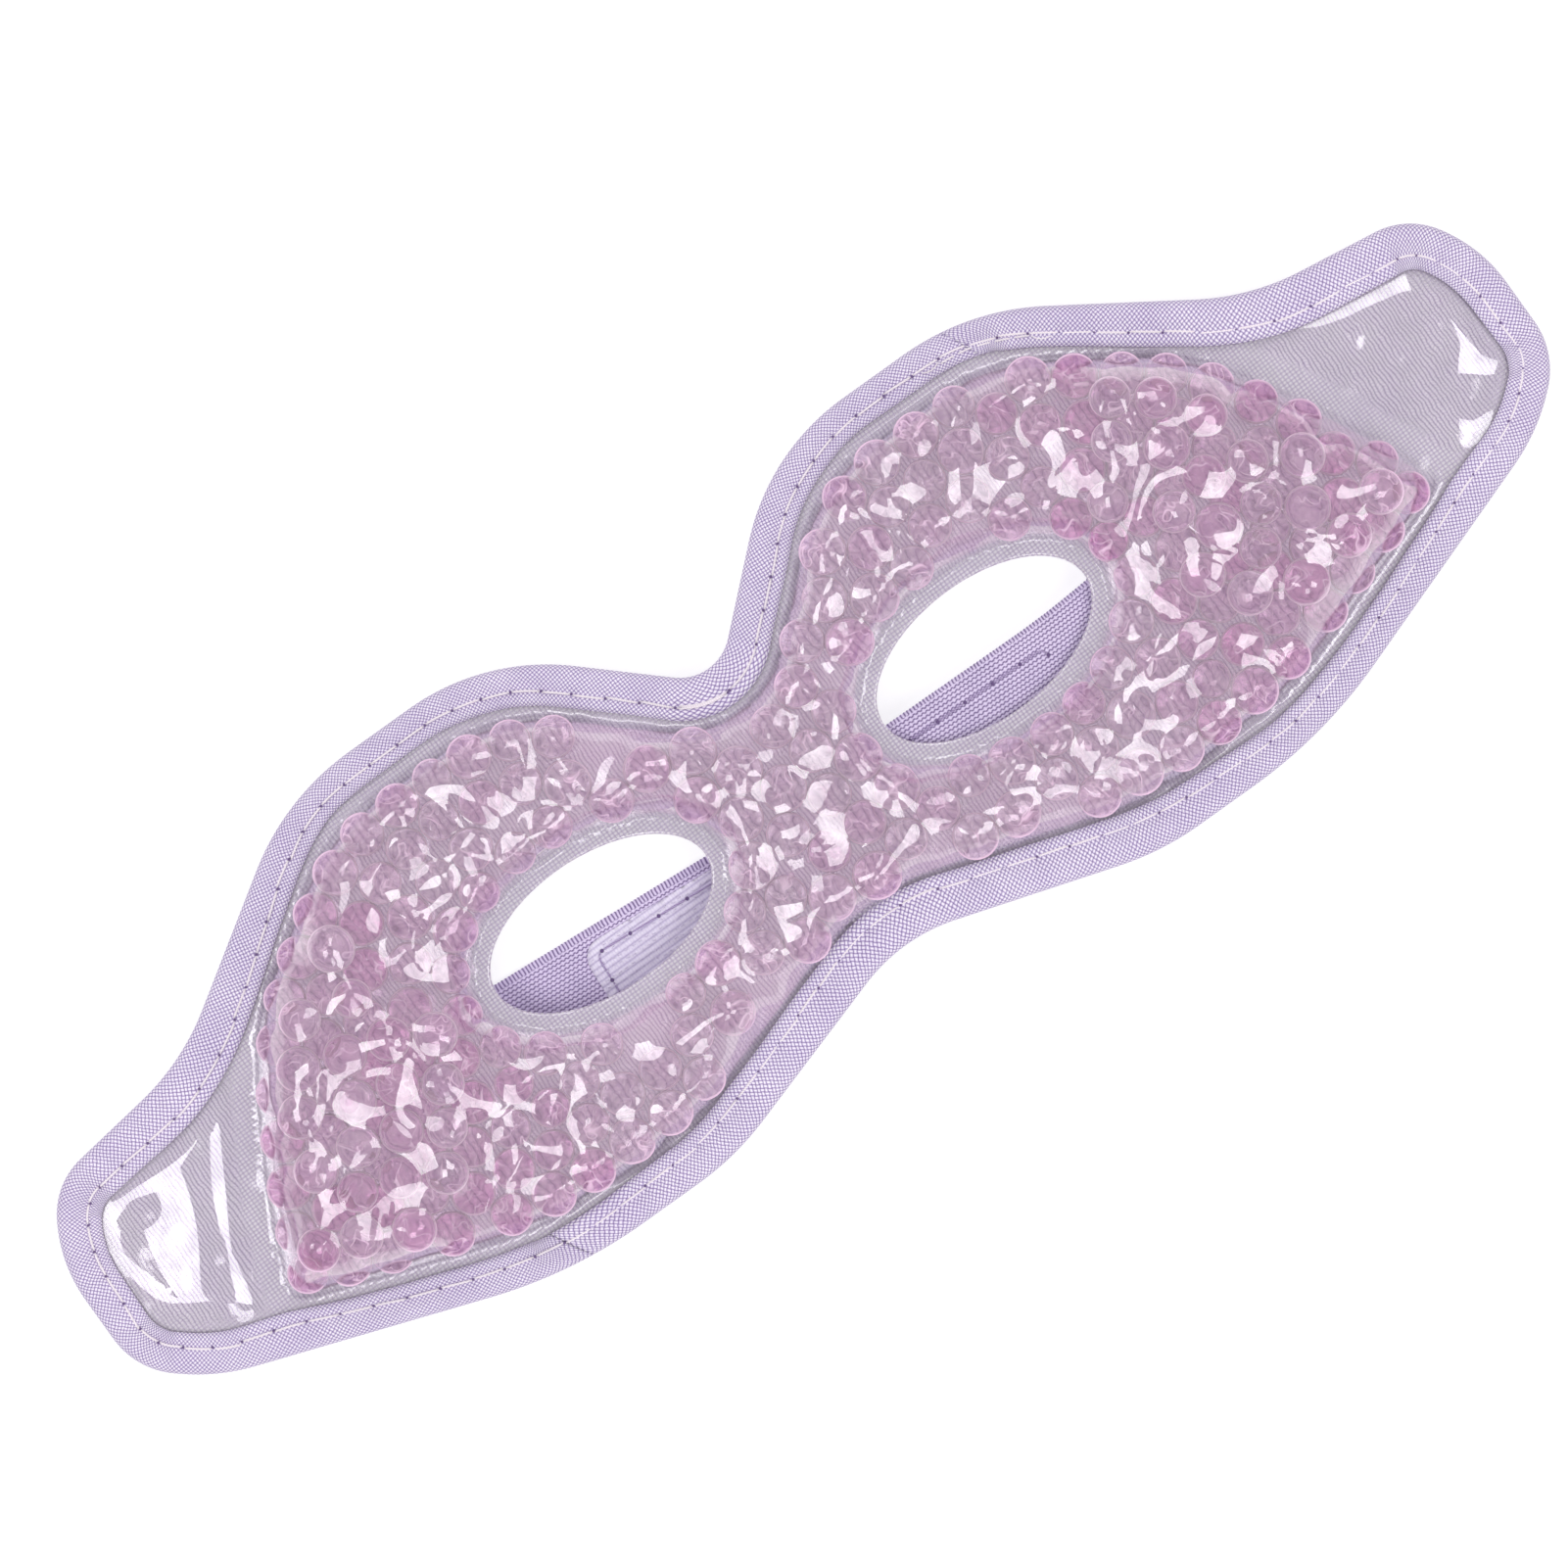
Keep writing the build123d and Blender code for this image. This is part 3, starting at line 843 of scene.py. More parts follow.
def build_beads():
    rng = np.random.default_rng(SEED + 1)
    groups = {}
    for centre, radius in zip(BEADS, BEAD_RADII):
        groups.setdefault(bead_region(*centre), []).append(bead_shape(centre, radius, rng))
    for region in sorted(groups):
        gel = PINK_BEAD if "lobe" in region else PALE_BEAD
        shape = join_shapes(groups[region])
        make_piece("gel_beads_" + region, shape, gel, "gel_bead", "beads_" + region, outwards=False)


build_beads()


# ======== the pouch
FILM_T = 0.25
BACK_FILM_T = 0.12
COARSE = 1.1
CREASES = 120
STRETCH_PASSES = 700
SMOOTHING_PASSES = 28
NOWHERE = -99.0


def crease_field():
    """Fine raised folds of the film, as short arcs scattered over the chamber."""
    rng = np.random.default_rng(SEED + 2)
    height = np.zeros_like(GRID_X)
    made = 0
    while made < CREASES:
        x, y = rng.uniform(-105, 105), rng.uniform(-32, 32)
        if WALLS.at(x, y) < 3:
            continue
        made += 1
        heading, bend = rng.uniform(0, math.pi), rng.normal(0, 0.05)
        length, size = rng.uniform(4, 12), rng.uniform(0.07, 0.16)
        du, dv = GRID_X - x, GRID_Y - y
        u = du * math.cos(heading) + dv * math.sin(heading)
        v = -du * math.sin(heading) + dv * math.cos(heading) - bend * u * u
        height += size * np.exp(-((v / 0.5) ** 2) - (2 * u / length) ** 4)
    return height


def bead_tops():
    """How high the beads reach, a little clear of them, over each place of the grid."""
    tops = np.full(GRID_X.shape, NOWHERE)
    for (x, y, z), radius in zip(BEADS, BEAD_RADII):
        reach = radius + 0.3
        i0, i1 = (int((x + off - Field.xs[0]) / GRID) for off in (-reach, reach))
        j0, j1 = (int((y + off - Field.ys[0]) / GRID) for off in (-reach, reach))
        near = np.s_[j0 : j1 + 2, i0 : i1 + 2]
        gap = reach**2 - (GRID_X[near] - x) ** 2 - (GRID_Y[near] - y) ** 2
        tops[near] = np.maximum(tops[near], np.where(gap > 0, z + np.sqrt(np.maximum(gap, 0)), NOWHERE))
    return tops


def neighbour_mean(height):
    """The mean height of the four places next to each place of the grid."""
    up, down, right, left = (np.roll(height, step, axis) for axis in (0, 1) for step in (1, -1))
    return (up + down + right + left) / 4


def film_heights():
    """The film drawn tight over the beads: a stretched sheet, then softened and creased."""
    tops = bead_tops()
    free_part = WALLS.values > 0
    height = np.where(free_part, np.maximum(tops, FLANGE_TOP + 3), FLANGE_TOP)
    pull = 0.004 + 0.003 * waves(GRID_X, GRID_Y, 16.0, SEED + 3)
    for _ in range(STRETCH_PASSES):
        height = np.where(free_part, np.maximum(neighbour_mean(height) - pull, tops), FLANGE_TOP)
    free = smooth_step(WALLS.values, 0.8, 4.0)
    height = height + free * (0.48 * waves(GRID_X, GRID_Y, 10.5, SEED + 4))
    height = np.maximum(height, np.where(free_part, tops, FLANGE_TOP))
    for _ in range(SMOOTHING_PASSES):
        height = np.where(free_part, 0.5 * height + 0.5 * neighbour_mean(height), FLANGE_TOP)
    return Field(height + free * crease_field())


FILM = film_heights()


def weld_relief(x, y):
    """Small steps and grooves pressed into the flange by the welding tools."""
    eye, wall = EYES.at(x, y), WALLS.at(x, y)
    ring = 0.05 * hump(eye - 1.9, 0.55)
    grooves = sum(-0.06 * hump(eye - place, 0.13) for place in (1.4, 2.65, 3.25))
    seam = 0.10 * hump(wall + 0.9, 0.25) * (eye > 4) * (EDGE.at(x, y) > 8)
    return ring + grooves + seam


def tab_waves(x, y):
    """Gentle swells of the film over the two end windows, with a ridge that follows the pouch's end."""
    wall = WALLS.at(x, y)
    depth = smooth_step(-wall, 4.5, 9.0) * smooth_step(EDGE.at(x, y), 6.0, 10.0) * (np.abs(x) > 85)
    ridge = 0.12 * np.cos((-wall - 9.0) * 2 * math.pi / 16.0)
    return depth * (0.6 + ridge + 0.32 * waves(x, y, 24.0, SEED + 5))


def weld_amount(x, y):
    """1 where the film is welded to the cloth, 0 where it is free."""
    eye, wall, edge = EYES.at(x, y), WALLS.at(x, y), EDGE.at(x, y)
    ring = smooth_step(eye, 2.75, 2.45)
    rim = smooth_step(edge, 7.5, 7.1)
    seam = smooth_step(wall, -4.4, -3.9) * smooth_step(wall, -0.2, -0.6)
    return np.maximum(np.maximum(ring, rim), seam)


def film_top(x, y):
    return FILM.at(x, y) + weld_relief(x, y) + tab_waves(x, y)


def fabric_top(x, y):
    return FABRIC_TOP + 0.05 * waves(x, y, 5.0, SEED + 7)


def fabric_bottom(x, y):
    ring = 0.22 * hump(EYES.at(x, y) - 1.4, 0.8)
    pressed = ring + 0.15 * hump(WALLS.at(x, y), 0.8)
    return FABRIC_LOW + 0.1 + pressed + 0.12 * waves(x, y, 11.0, SEED + 8)


def back_film_top(x, y):
    return FILM_LOW - 0.04 + 0.05 * waves(x, y, 5.0, SEED + 7)


def build_pouch():
    covers = on_mask(FILM_EDGE)
    plan = whole_plan(FILM_EDGE, GRID, COARSE)
    shape = sheet_shape(*plan, covers, film_top, lambda x, y: film_top(x, y) - FILM_T)
    film = make_piece("clear_front_film", shape, FRONT_CLEAR, "clear_film", "front_film", weld=weld_amount)
    plan = whole_plan(FILM_EDGE, COARSE, COARSE)
    shape = sheet_shape(*plan, covers, fabric_top, fabric_bottom)
    fabric = make_piece("knit_backing", shape, KNIT, "backing_knit", "backing_fabric", weld=weld_amount)
    whole = float(np.sum(EDGE.values > FILM_EDGE) - np.sum(EYES.values < 0)) * GRID**2 * MM**2
    shape = sheet_shape(*plan, covers, back_film_top, lambda x, y: back_film_top(x, y) - BACK_FILM_T)
    make_piece("clear_back_film", shape, BACK_CLEAR, "back_film", "back_film")


build_pouch()


def build_gel_pool():
    """The thin wet layer under the beads, drawn up where it touches them."""
    near = np.full(GRID_X.shape, 9.0)
    for (x, y, z), radius in zip(BEADS, BEAD_RADII):
        if z < UPPER_LEVEL:
            near = np.minimum(near, np.abs(np.hypot(GRID_X - x, GRID_Y - y) - radius * 0.75))
    level = Field(near)

    def top(x, y):
        rise = 1.1 * hump(level.at(x, y), 0.9) + 0.08 * waves(x, y, 6.0, SEED + 9)
        return GEL_TOP + 0.1 + rise * smooth_step(WALLS.at(x, y), 0.5, 2.0)

    def bottom(x, y):
        return np.full_like(x, FILM_LOW + 0.1)

    inner = plan_points(0.7, lambda xy: WALLS.at(*xy.T) > 0.5)
    shape = sheet_shape([], inner, lambda xy: WALLS.at(*xy.T) > 0.45, top, bottom)
    make_piece("gel_pool", shape, GEL_CLEAR, "carrier_gel", "carrier_gel")


build_gel_pool()

BUBBLES = 70


def build_bubbles():
    """Small air bubbles caught under the film between the beads."""
    rng = np.random.default_rng(SEED + 10)
    shapes = []
    while len(shapes) < BUBBLES:
        x, y = rng.uniform(-108, 108), rng.uniform(-32, 32)
        if WALLS.at(x, y) < 1.5:
            continue
        radius = rng.uniform(0.22, 0.42)
        place = np.array([x, y, FILM.at(x, y) - FILM_T - radius - 0.15])
        if np.any(np.linalg.norm(BEADS - place, axis=1) < BEAD_RADII + radius):
            continue
        shapes.append(bead_shape(place, radius, rng, 16, 10))
    make_piece("air_bubbles", join_shapes(shapes), GEL_CLEAR, "carrier_gel", outwards=False)


build_bubbles()

# ======== binding: bias tape folded over the edge
# visible width of the tape, by share of the way from nose notch to brow arch
TAPE_SHARES = [0.0, 0.07, 0.15, 0.22, 0.28, 0.34, 0.40, 0.48, 0.56, 0.63, 0.69, 0.78, 0.89, 1.0]
TAPE_WIDTHS = [6.4, 6.0, 5.4, 5.2, 6.2, 7.0, 7.2, 6.6, 5.9, 6.3, 5.3, 5.6, 7.0, 7.2]
# places across the folded tape, as shares of its width from the fold: on the outside, then on the inside
OUTER_SHARES = np.array(
    [1.0, 0.985, 0.93, 0.86, 0.78, 0.72, 0.68, 0.64, 0.6, 0.52, 0.42, 0.32, 0.23, 0.15, 0.08, 0.03, 0.008]
)
INNER_SHARES = np.array([0.16, 0.3, 0.55, 0.8, 1.0])
STITCH_FROM_EDGE = 2.0
STITCH_PITCH = 4.9
LAP_PLACE = (-59.0, -36.0)
SPLICE_PLACE = (61.3, 35.5)
LAP_LENGTH = 5.0
# the tape's ends are cut at a slant, its fold and edge are rounded, and its upper end is pressed thin
DIAGONAL = 0.8
DIAGONAL_REACH = 10.0
FOLD_RADIUS = 1.7
EDGE_ROUND = 0.32
THIN_END = 0.22
# how far the threads' middle lines lie above the tape, and the threads' radii
THREAD_PROUD = 0.12
SEAM_THREAD = 0.17
LAP_THREAD = 0.14
LOOSE_THREAD = 0.10


def on_edge(s, inset):
    """The point that lies a given way along the outline and a given way inside it."""
    places = np.linspace(0, PERIMETER, len(OUTLINE) + 1)
    s = np.mod(s, PERIMETER)

    def read(loop):
        loop = np.vstack([loop, loop[:1]])
        return np.stack([np.interp(s, places, loop[:, k]) for k in (0, 1)], -1)

    return read(OUTLINE) + unit(read(OUTLINE_NORMALS)) * inset[..., None]


def edge_place(point):
    """How far along the outline a point is."""
    return float(np.argmin(np.linalg.norm(OUTLINE - point, axis=1))) / len(OUTLINE) * PERIMETER


def tape_width(s):
    share = np.abs(np.mod(s / PERIMETER * 2 + 1, 2) - 1)
    width = np.interp(share, TAPE_SHARES, TAPE_WIDTHS)
    return width + 0.10 * np.sin(s / 7.3) + 0.06 * np.sin(s / 2.9 + 1)


def seam_inset(s):
    """How far inside the mask's edge the binding's seam runs."""
    return tape_width(s) - STITCH_FROM_EDGE


def stitch_dimples(s, inset, width):
    """How far the seam presses the tape down: deepest at each needle hole."""
    off = inset - (width - STITCH_FROM_EDGE)
    to_hole = np.abs(np.mod(s + STITCH_PITCH / 2, STITCH_PITCH) - STITCH_PITCH / 2)
    hole = 0.30 * np.exp(-((to_hole / 0.45) ** 2) - (off / 0.40) ** 2)
    line = 0.16 * hump(off, 0.6)
    pucker = -0.10 * np.sin(math.pi * s / STITCH_PITCH) ** 2 * hump(off - 1.2, 0.9)
    return hole + line + pucker


def binding_rings(start, end, lift, thin_ends):
    """Rings of the folded tape from one place on the outline to another."""
    s = np.linspace(start, end, int((end - start) / GRID) + 1)
    width = tape_width(s)
    cut = smooth_step(s - start, DIAGONAL_REACH, 0.0) + smooth_step(s - end, -DIAGONAL_REACH, 0.0)
    thin = smooth_step(s - start, 0.8, 0.0) * thin_ends[0] + smooth_step(s - end, -0.8, 0.0) * thin_ends[1]
    middle = (MASK_BACK + BINDING_TOP) / 2
    half = (BINDING_TOP - MASK_BACK) / 2 + lift

    def outer_level(share, inset, place):
        bend = np.clip(inset / FOLD_RADIUS, 0, 1)
        level = half * (1 - (1 - bend) ** 2.2) ** 0.5 - EDGE_ROUND * smooth_step(share, 0.93, 1.0)
        level = level - stitch_dimples(place, inset, width)
        level += 0.08 * np.sin(place / 3.1 + share * 4) * smooth_step(share, 0.1, 0.5)
        return level - thin * THIN_END

    outside = [(share, 1) for share in OUTER_SHARES] + [(share, -1) for share in OUTER_SHARES[::-1]]
    inside = [(share, -1) for share in INNER_SHARES[::-1]] + [(share, 1) for share in INNER_SHARES]
    rows = []
    for number, (share, side) in enumerate(outside + inside):
        inset = share * width
        place = s - DIAGONAL * inset * cut
        outer = number < len(outside)
        level = outer_level(share, inset, place) if outer else np.full_like(s, FLANGE_TOP - middle + 0.04)
        rows.append(np.column_stack([on_edge(place, inset), middle + side * level]))
    rings = np.stack(rows, 1)
    return rings, s, ring_girth(rings, 1.0)


LAP_S = edge_place(LAP_PLACE)
SPLICE_S = edge_place(SPLICE_PLACE)


def build_binding():
    brow = binding_rings(SPLICE_S + 0.05, LAP_S + LAP_LENGTH, THIN_END, (1, 0))
    nose = binding_rings(LAP_S - LAP_LENGTH, SPLICE_S + PERIMETER - 0.05, 0.0, (0, 1))
    for name, rings in (("binding_brow_strip", brow), ("binding_nose_strip", nose)):
        make_piece(name + "_tape", sweep(*rings), WEAVE, "binding_weave", name)


build_binding()


def edge_thread(s, inset, level, radius):
    """A thread that follows the mask's edge."""
    return thread_shape(np.column_stack([on_edge(s, inset), level]), radius)


def seam_stitches(face):
    """Lockstitches all round the binding, on the top (1) or the underside (-1)."""
    rng = np.random.default_rng(SEED + 12)
    level = BINDING_TOP + THREAD_PROUD if face > 0 else MASK_BACK - 0.10
    shapes = []
    for place in np.arange(0, PERIMETER, STITCH_PITCH):
        s = np.linspace(place + 0.1, place + STITCH_PITCH - 0.1, 9)
        shift = rng.normal(0, 0.06) + np.linspace(0, rng.normal(0, 0.10), 9)
        dip = 0.36 * np.linspace(-1, 1, 9) ** 12 + 0.08
        shapes.append(edge_thread(s, seam_inset(s) + shift, level - face * dip, SEAM_THREAD))
    return shapes


def lap_stitches():
    """The second row of stitches over the lap, and its two loose thread ends."""
    level = BINDING_TOP + THREAD_PROUD
    shapes = []
    for place in np.arange(LAP_S - 8.0, LAP_S + 7.0, 3.1):
        s = np.linspace(place, place + 2.7, 7)
        inset = seam_inset(s) + 0.55 + 0.03 * (s - LAP_S)
        dip = 0.35 * np.linspace(-1, 1, 7) ** 6
        shapes.append(edge_thread(s, inset, level + 0.12 - dip, LAP_THREAD))
    for start, side in ((LAP_S - 8.2, -1), (LAP_S + 7.2, 1)):
        s = start + side * np.linspace(0, 3.2, 8)
        inset = seam_inset(s) + 0.4 + 0.5 * np.sin(np.linspace(0, 3, 8))
        shapes.append(edge_thread(s, inset, level + 0.15 * np.sin(np.linspace(0, 2.6, 8)), LOOSE_THREAD))
    return shapes


def build_seams():
    top, under = seam_stitches(1) + lap_stitches(), seam_stitches(-1)
    for name, shapes in (("needle_thread", top), ("bobbin_thread", under)):
        make_piece(name + "_stitches", join_shapes(shapes), THREAD, "sewing_thread", name)


build_seams()


def build_needle_holes():
    """Painted shade where the needle went through the binding: a dark ball in each dimple."""
    rng = np.random.default_rng(SEED + 13)
    shapes = []
    for s in np.arange(0, PERIMETER, STITCH_PITCH):
        xy = on_edge(np.array([s]), np.array([seam_inset(s)]))[0]
        shapes.append(needle_hole_shade([*xy, BINDING_TOP - 0.16], 0.22, 0.35, rng))
    make_piece("needle_holes", join_shapes(shapes), HOLE_SHADE, "sewing_thread", outwards=False)


build_needle_holes()

# ======== straps
HINGE_X = 116.0
ANCHOR_X = 123.0
ANCHOR_ROWS = (119.2, 120.6, 122.0)
ANCHOR_PITCH = 2.2
ANCHOR_THREAD = 0.16
BLEND_X = (121, 113)
PATH_STEP = 0.19
STRAP_END_Y = 4.9
HOOK_TIP = (-23.0, 15.1)
LOOP_BEND = (-46.0, 12.4)
LOOP_TIP = (8.0, 11.6)
SLOPE_X = (62.0, 108.0)
TIP_ROUND = 1.5


def strap_rings(path, middle_level):
    """Rings of a flat elastic band along a plan path, with looped edges and a rounded tip."""
    s = way_along(path)
    normals = left_normals(path, closed=False)
    from_tip = s[-1] - s
    rounding = TIP_ROUND - np.sqrt(np.maximum(TIP_ROUND**2 - (TIP_ROUND - from_tip) ** 2, 0))
    half = STRAP_WIDTH / 2 - np.where(from_tip < TIP_ROUND, rounding, 0)
    level = middle_level(path[:, 0])
    rib = np.abs(np.sin(math.pi * s / RIB_PITCH))
    border = np.array([1.0, 0.99, 0.965, 0.93, 0.905, 0.89])
    across = np.concatenate([border, np.linspace(0.8, -0.8, 11), -border[::-1]])
    rows = []
    for side, shares in ((1, across), (-1, across[::-1])):
        for share in shares:
            from_middle = abs(share)
            reach = share * half + np.sign(share) * 0.16 * (rib - 0.5) * (from_middle > 0.98)
            thick = STRAP_T / 2 * (1 - 0.75 * smooth_step(from_middle, 0.955, 1.0))
            swell = 0.06 * (rib - 0.5) * (from_middle > 0.9) + 0.02 * np.cos(share * half * 2 * math.pi / 1.2)
            groove = 0.07 * (0.89 < from_middle < 0.91)
            height = level + side * (thick + swell - groove)
            rows.append(np.column_stack([path + normals * reach[:, None], height]))
    rings = np.stack(rows, 1)
    return rings, s, ring_girth(rings, STRAP_T * 0.3)


def hinge_rise(x):
    """How much a strap lifts towards the binding beyond its fold."""
    return 0.15 * smooth_step(x, HINGE_X, HINGE_X + 2)


def hook_strap_level(x):
    """The hook strap runs down from the binding, to pass under the loop strap."""
    linear = np.clip((x - SLOPE_X[0]) / (SLOPE_X[1] - SLOPE_X[0]), 0, 1)
    rise = 0.85 * linear + 0.15 * smooth_step(x, *SLOPE_X)
    return STRAP_T / 2 + 0.02 + (STRAP_TOP - STRAP_T) * rise + hinge_rise(x)


def loop_strap_level(x):
    return STRAP_TOP - STRAP_T / 2 + hinge_rise(-x)


def strap_path(side, *corners):
    """A strap's middle line, from its anchor past its fold. Each corner is (x, y, radius)."""
    ends = [(side * ANCHOR_X, STRAP_END_Y, 0), (side * HINGE_X, STRAP_END_Y, 30.0)]
    return rounded(ends + list(corners), PATH_STEP, closed=False)


HOOK_PATH = strap_path(1, (*HOOK_TIP, 0))
LOOP_PATH = strap_path(-1, (*LOOP_BEND, 150.0), (*LOOP_TIP, 0))


def build_straps():
    hook = ("hook", HOOK_PATH, hook_strap_level, 1)
    loop = ("loop", LOOP_PATH, loop_strap_level, -1)
    for kind, path, level, side in (hook, loop):
        rings = strap_rings(path, level)
        nodes = (kind + "_strap", kind + "_strap_anchor")
        strap = make_piece(kind + "_strap_ribbon", sweep(*rings), ELASTIC, "elastic_knit", *nodes, body=None)
        start, end = ((side * x * MM, STRAP_END_Y * MM, STRAP_TOP * MM) for x in BLEND_X)
        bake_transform(strap)
        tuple(start)
        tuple(end)


build_straps()


def build_anchor_stitches():
    """Three rows of short stitches that hold each strap end under the binding."""
    for kind, side in (("hook", 1), ("loop", -1)):
        low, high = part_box(kind + "_anchor_stitches")
        level = low.z / MM + 0.02
        shapes = []
        for x in ANCHOR_ROWS:
            for y in np.arange(low.y / MM, high.y / MM - 1.8, ANCHOR_PITCH):
                share = np.linspace(-1, 1, 7)
                xs = np.full(7, side * x) + 0.05 * np.sin(y)
                path = np.column_stack([xs, y + 0.9 + share * 0.95, level + 0.35 * share**6])
                shapes.append(thread_shape(path, ANCHOR_THREAD))
        seam = join_shapes(shapes)
        make_piece(kind + "_anchor_seam", seam, THREAD, "sewing_thread", kind + "_anchor_stitches")


build_anchor_stitches()

# ======== hook and loop tapes
TAPE_WIDTH = 16.0
TAPE_CORNER = 3.0
TAPE_GROUND = 0.55
TAPE_SEAM_INSET = 1.8
PILE_PITCH = 1.15
PILE_RADIUS = 0.09
TAPE_THREAD = 0.14
SEAM_STEP = 0.2
SEAM_POINTS = 24


def tape_axes(start, end):
    """The way a tape runs, the way across it, and its length."""
    run = np.array(end) - start
    length = np.linalg.norm(run)
    way = run / length
    return way, np.array([-way[1], way[0]]), length


def tape_loop(start, end, inset, step):
    """Outline of a tape with rounded corners, from one end of its middle line to the other."""
    way, side, length = tape_axes(start, end)
    half = TAPE_WIDTH / 2 - inset
    corners = [(inset, -half), (length - inset, -half), (length - inset, half), (inset, half)]
    return rounded([(*(start + way * u + side * v), TAPE_CORNER - inset) for u, v in corners], step)


def tape_pile(start, end, level, face, kind, rng):
    """Rows of hooks, or a fuzz of loops, standing on the tape's ground."""
    way, side, length = tape_axes(start, end)
    half = TAPE_WIDTH / 2
    if kind == "hook":
        reach = np.array([0, 0, 0.05, 0.22, 0.42, 0.46])
        rise = np.array([0, 0.45, 0.78, 0.95, 0.80, 0.55])
    else:
        turns = np.linspace(0, 1, 6)
        reach = 0.9 * (turns - 0.5)
        rise = 0.72 * np.sin(math.pi * turns)
    shapes = []
    for u in np.arange(1.0, length - 0.8, PILE_PITCH):
        for v in np.arange(-half + 1.0, half - 0.7, PILE_PITCH):
            in_seam = abs(abs(v) - (half - TAPE_SEAM_INSET)) < 0.45
            in_corner = min(u, length - u) < 2.2 and abs(v) > 6
            if in_seam or in_corner:
                continue
            spot = np.array(start) + way * (u + rng.normal(0, 0.08)) + side * (v + rng.normal(0, 0.08))
            heading = rng.normal(0, 0.25) + (math.pi if int(v) % 2 else 0)
            if kind == "loop":
                heading = rng.uniform(0, 2 * math.pi)
            lean = way * math.cos(heading) + side * math.sin(heading)
            path = np.column_stack([spot + lean * reach[:, None], level + face * rise])
            shapes.append(thread_shape(path, PILE_RADIUS, 5))
    return shapes


def tape_seam(start, end, level):
    """Short stitches round a tape, a little inside its edge, and balls of painted shade in the needle holes
    between them.
    """
    loop = tape_loop(start, end, TAPE_SEAM_INSET, SEAM_STEP)
    loop = np.vstack([loop, loop[:1]])
    rng = np.random.default_rng(SEED + 21)
    stitches, holes = [], []
    for first in range(0, len(loop) - SEAM_POINTS, SEAM_POINTS):
        xy = loop[first + 1 : first + SEAM_POINTS : 2]
        path = np.column_stack([xy, level - 0.3 * np.linspace(-1, 1, len(xy)) ** 12])
        stitches.append(thread_shape(path, TAPE_THREAD))
        holes.append(needle_hole_shade([*loop[first], level - 0.02], 0.3, 0.4, rng))
    return join_shapes(stitches), join_shapes(holes)


def along_line(start, end, x):
    """The point at a given x on the line from start to end."""
    share = (x - start[0]) / (end[0] - start[0])
    return (x, start[1] + share * (end[1] - start[1]))


def build_tape(kind, ends, face, rng):
    """A tape that faces up (1) or down (-1), with its pile and the seam that shows on top."""
    low, high = (c.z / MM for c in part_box(kind + "_tape"))
    base = low if face > 0 else high
    near, far = sorted((base + face * 0.02, base + face * TAPE_GROUND))
    loop = tape_loop(*ends, 0.0, 0.5)

    def inside(xy):
        return inside_distance(loop, xy)

    def rim(x, y):
        return 0.22 * smooth_step(inside(np.column_stack([x, y])), 0.7, 0.0)

    ground = sheet_shape(
        [loop],
        plan_points(0.8, lambda xy: inside(xy) > 0.4),
        lambda xy: inside(xy) > -0.02,
        lambda x, y: far - rim(x, y) * (face > 0),
        lambda x, y: near + rim(x, y) * (face < 0),
    )
    body = kind + "_side_strap"
    pile = tape_pile(*ends, base + face * (TAPE_GROUND - 0.05), face, kind, rng)
    shape = join_shapes([ground] + pile)
    make_piece(kind + "_tape_patch", shape, TAPES[kind], kind + "_tape", kind + "_tape", body=body)
    stitches, holes = tape_seam(*ends, base + (TAPE_GROUND + 0.12) if face > 0 else STRAP_TOP + 0.1)
    nodes = (kind + "_tape_stitches",)
    make_piece(kind + "_tape_seam", stitches, STRAP_THREAD, "sewing_thread", *nodes, body=body)
    # dark balls of painted shade in the tape's needle holes
    make_piece(kind + "_tape_needle_holes", holes, HOLE_SHADE, "sewing_thread", body=body, outwards=False)


def build_tapes():
    rng = np.random.default_rng(SEED + 20)
    hook_line = ((HINGE_X, STRAP_END_Y), HOOK_TIP)
    loop_line = (LOOP_BEND, LOOP_TIP)
    build_tape("hook", [along_line(*hook_line, x) for x in (39.3, -21.0)], 1, rng)
    build_tape("loop", [along_line(*loop_line, x) for x in (-42.5, 6.0)], -1, rng)


build_tapes()

# ======== floor, light and camera
CAMERA_LENS = 120.0
CAMERA_SENSOR = 36.0
VIEW_WIDTH = 224.1
VIEW_ROLL = 180.0 - 35.6
VIEW_CENTRE = (0.8, 0.3, 8.0)
FLOOR_HALF = 3.0
FLOOR_LEVEL = -0.0002
FLOOR_GREY = 0.42
GLOW = 0.68
# name, place and size in metres, and radiance of each lamp
LAMPS = [
    ("key_softbox", (-0.30, 0.33, 0.77), (0.32, 0.44), 3.4),
    ("fill_softbox", (0.43, -0.15, 0.70), (0.27, 0.42), 3.5),
    ("upper_softbox", (0.20, 0.42, 0.74), (0.26, 0.40), 2.8),
    ("lower_softbox", (-0.24, -0.40, 0.74), (0.26, 0.40), 2.8),
]


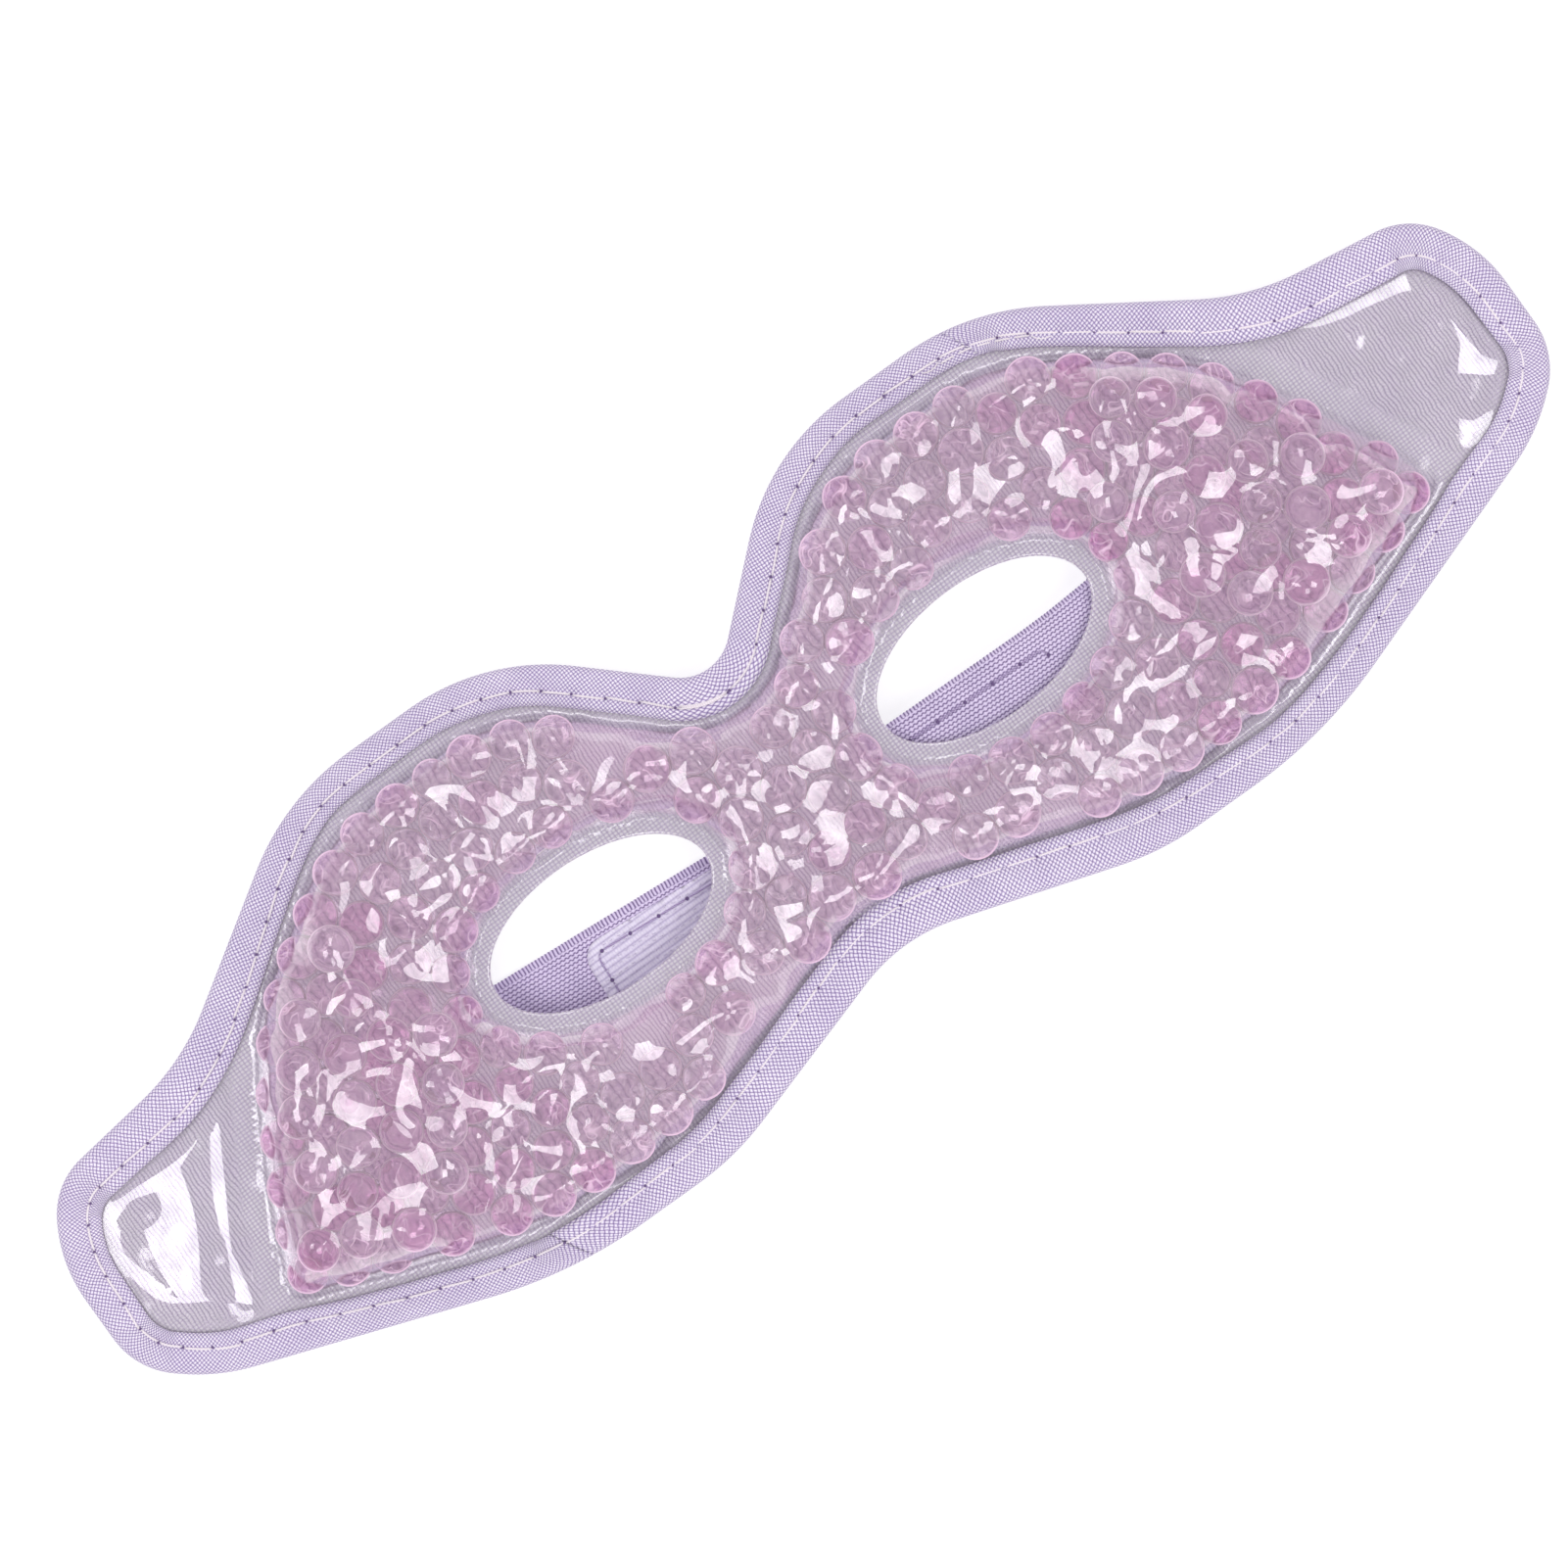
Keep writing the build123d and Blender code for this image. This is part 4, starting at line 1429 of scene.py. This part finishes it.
def add_to_scene(name, data):
    item = bpy.data.objects.new(name, data)
    bpy.context.scene.collection.objects.link(item)
    return item


def soft_lamp(name, place, size, radiance):
    """A rectangular lamp that faces the object."""
    lamp = bpy.data.lights.new(name, "AREA")
    lamp.shape = "RECTANGLE"
    lamp.size, lamp.size_y = size
    lamp.energy = radiance * math.pi * size[0] * size[1]
    item = add_to_scene(name, lamp)
    item.location = place
    item.rotation_euler = (-Vector(place)).to_track_quat("-Z", "Y").to_euler()


def build_floor():
    mesh = bpy.data.meshes.new("floor")
    signs = [(-1, -1), (1, -1), (1, 1), (-1, 1)]
    mesh.from_pydata([(x * FLOOR_HALF, y * FLOOR_HALF, FLOOR_LEVEL) for x, y in signs], [], [(0, 1, 2, 3)])
    shade = Shade("floor_white")
    mesh.materials.append(
        shade.finish(
            Base_Color=(FLOOR_GREY, FLOOR_GREY, FLOOR_GREY, 1.0),
            Roughness=0.9,
            Specular_IOR_Level=0.0,
            Emission_Color=(*WHITE, 1.0),
            Emission_Strength=GLOW,
        )
    )
    add_to_scene("floor", mesh)


def build_light():
    world = bpy.data.worlds.new("studio")
    world.use_nodes = True
    background = world.node_tree.nodes["Background"]
    background.inputs[0].default_value = (*WHITE, 1.0)
    background.inputs[1].default_value = GLOW
    bpy.context.scene.world = world
    for lamp in LAMPS:
        soft_lamp(*lamp)


def build_camera():
    data = bpy.data.cameras.new("camera")
    data.lens, data.sensor_width = CAMERA_LENS, CAMERA_SENSOR
    camera = add_to_scene("camera", data)
    distance = VIEW_WIDTH * CAMERA_LENS / CAMERA_SENSOR
    x, y, z = VIEW_CENTRE
    camera.location = (x * MM, y * MM, (z + distance) * MM)
    camera.rotation_euler = (0, 0, math.radians(VIEW_ROLL))
    bpy.context.scene.camera = camera


build_floor()
build_light()
build_camera()
scene = bpy.context.scene
scene.view_settings.view_transform = "Standard"
scene.cycles.use_denoising = True
scene.cycles.transparent_max_bounces = 32
scene.cycles.max_bounces = 16
scene.cycles.transmission_bounces = 14
scene.cycles.caustics_reflective = False
scene.cycles.caustics_refractive = False
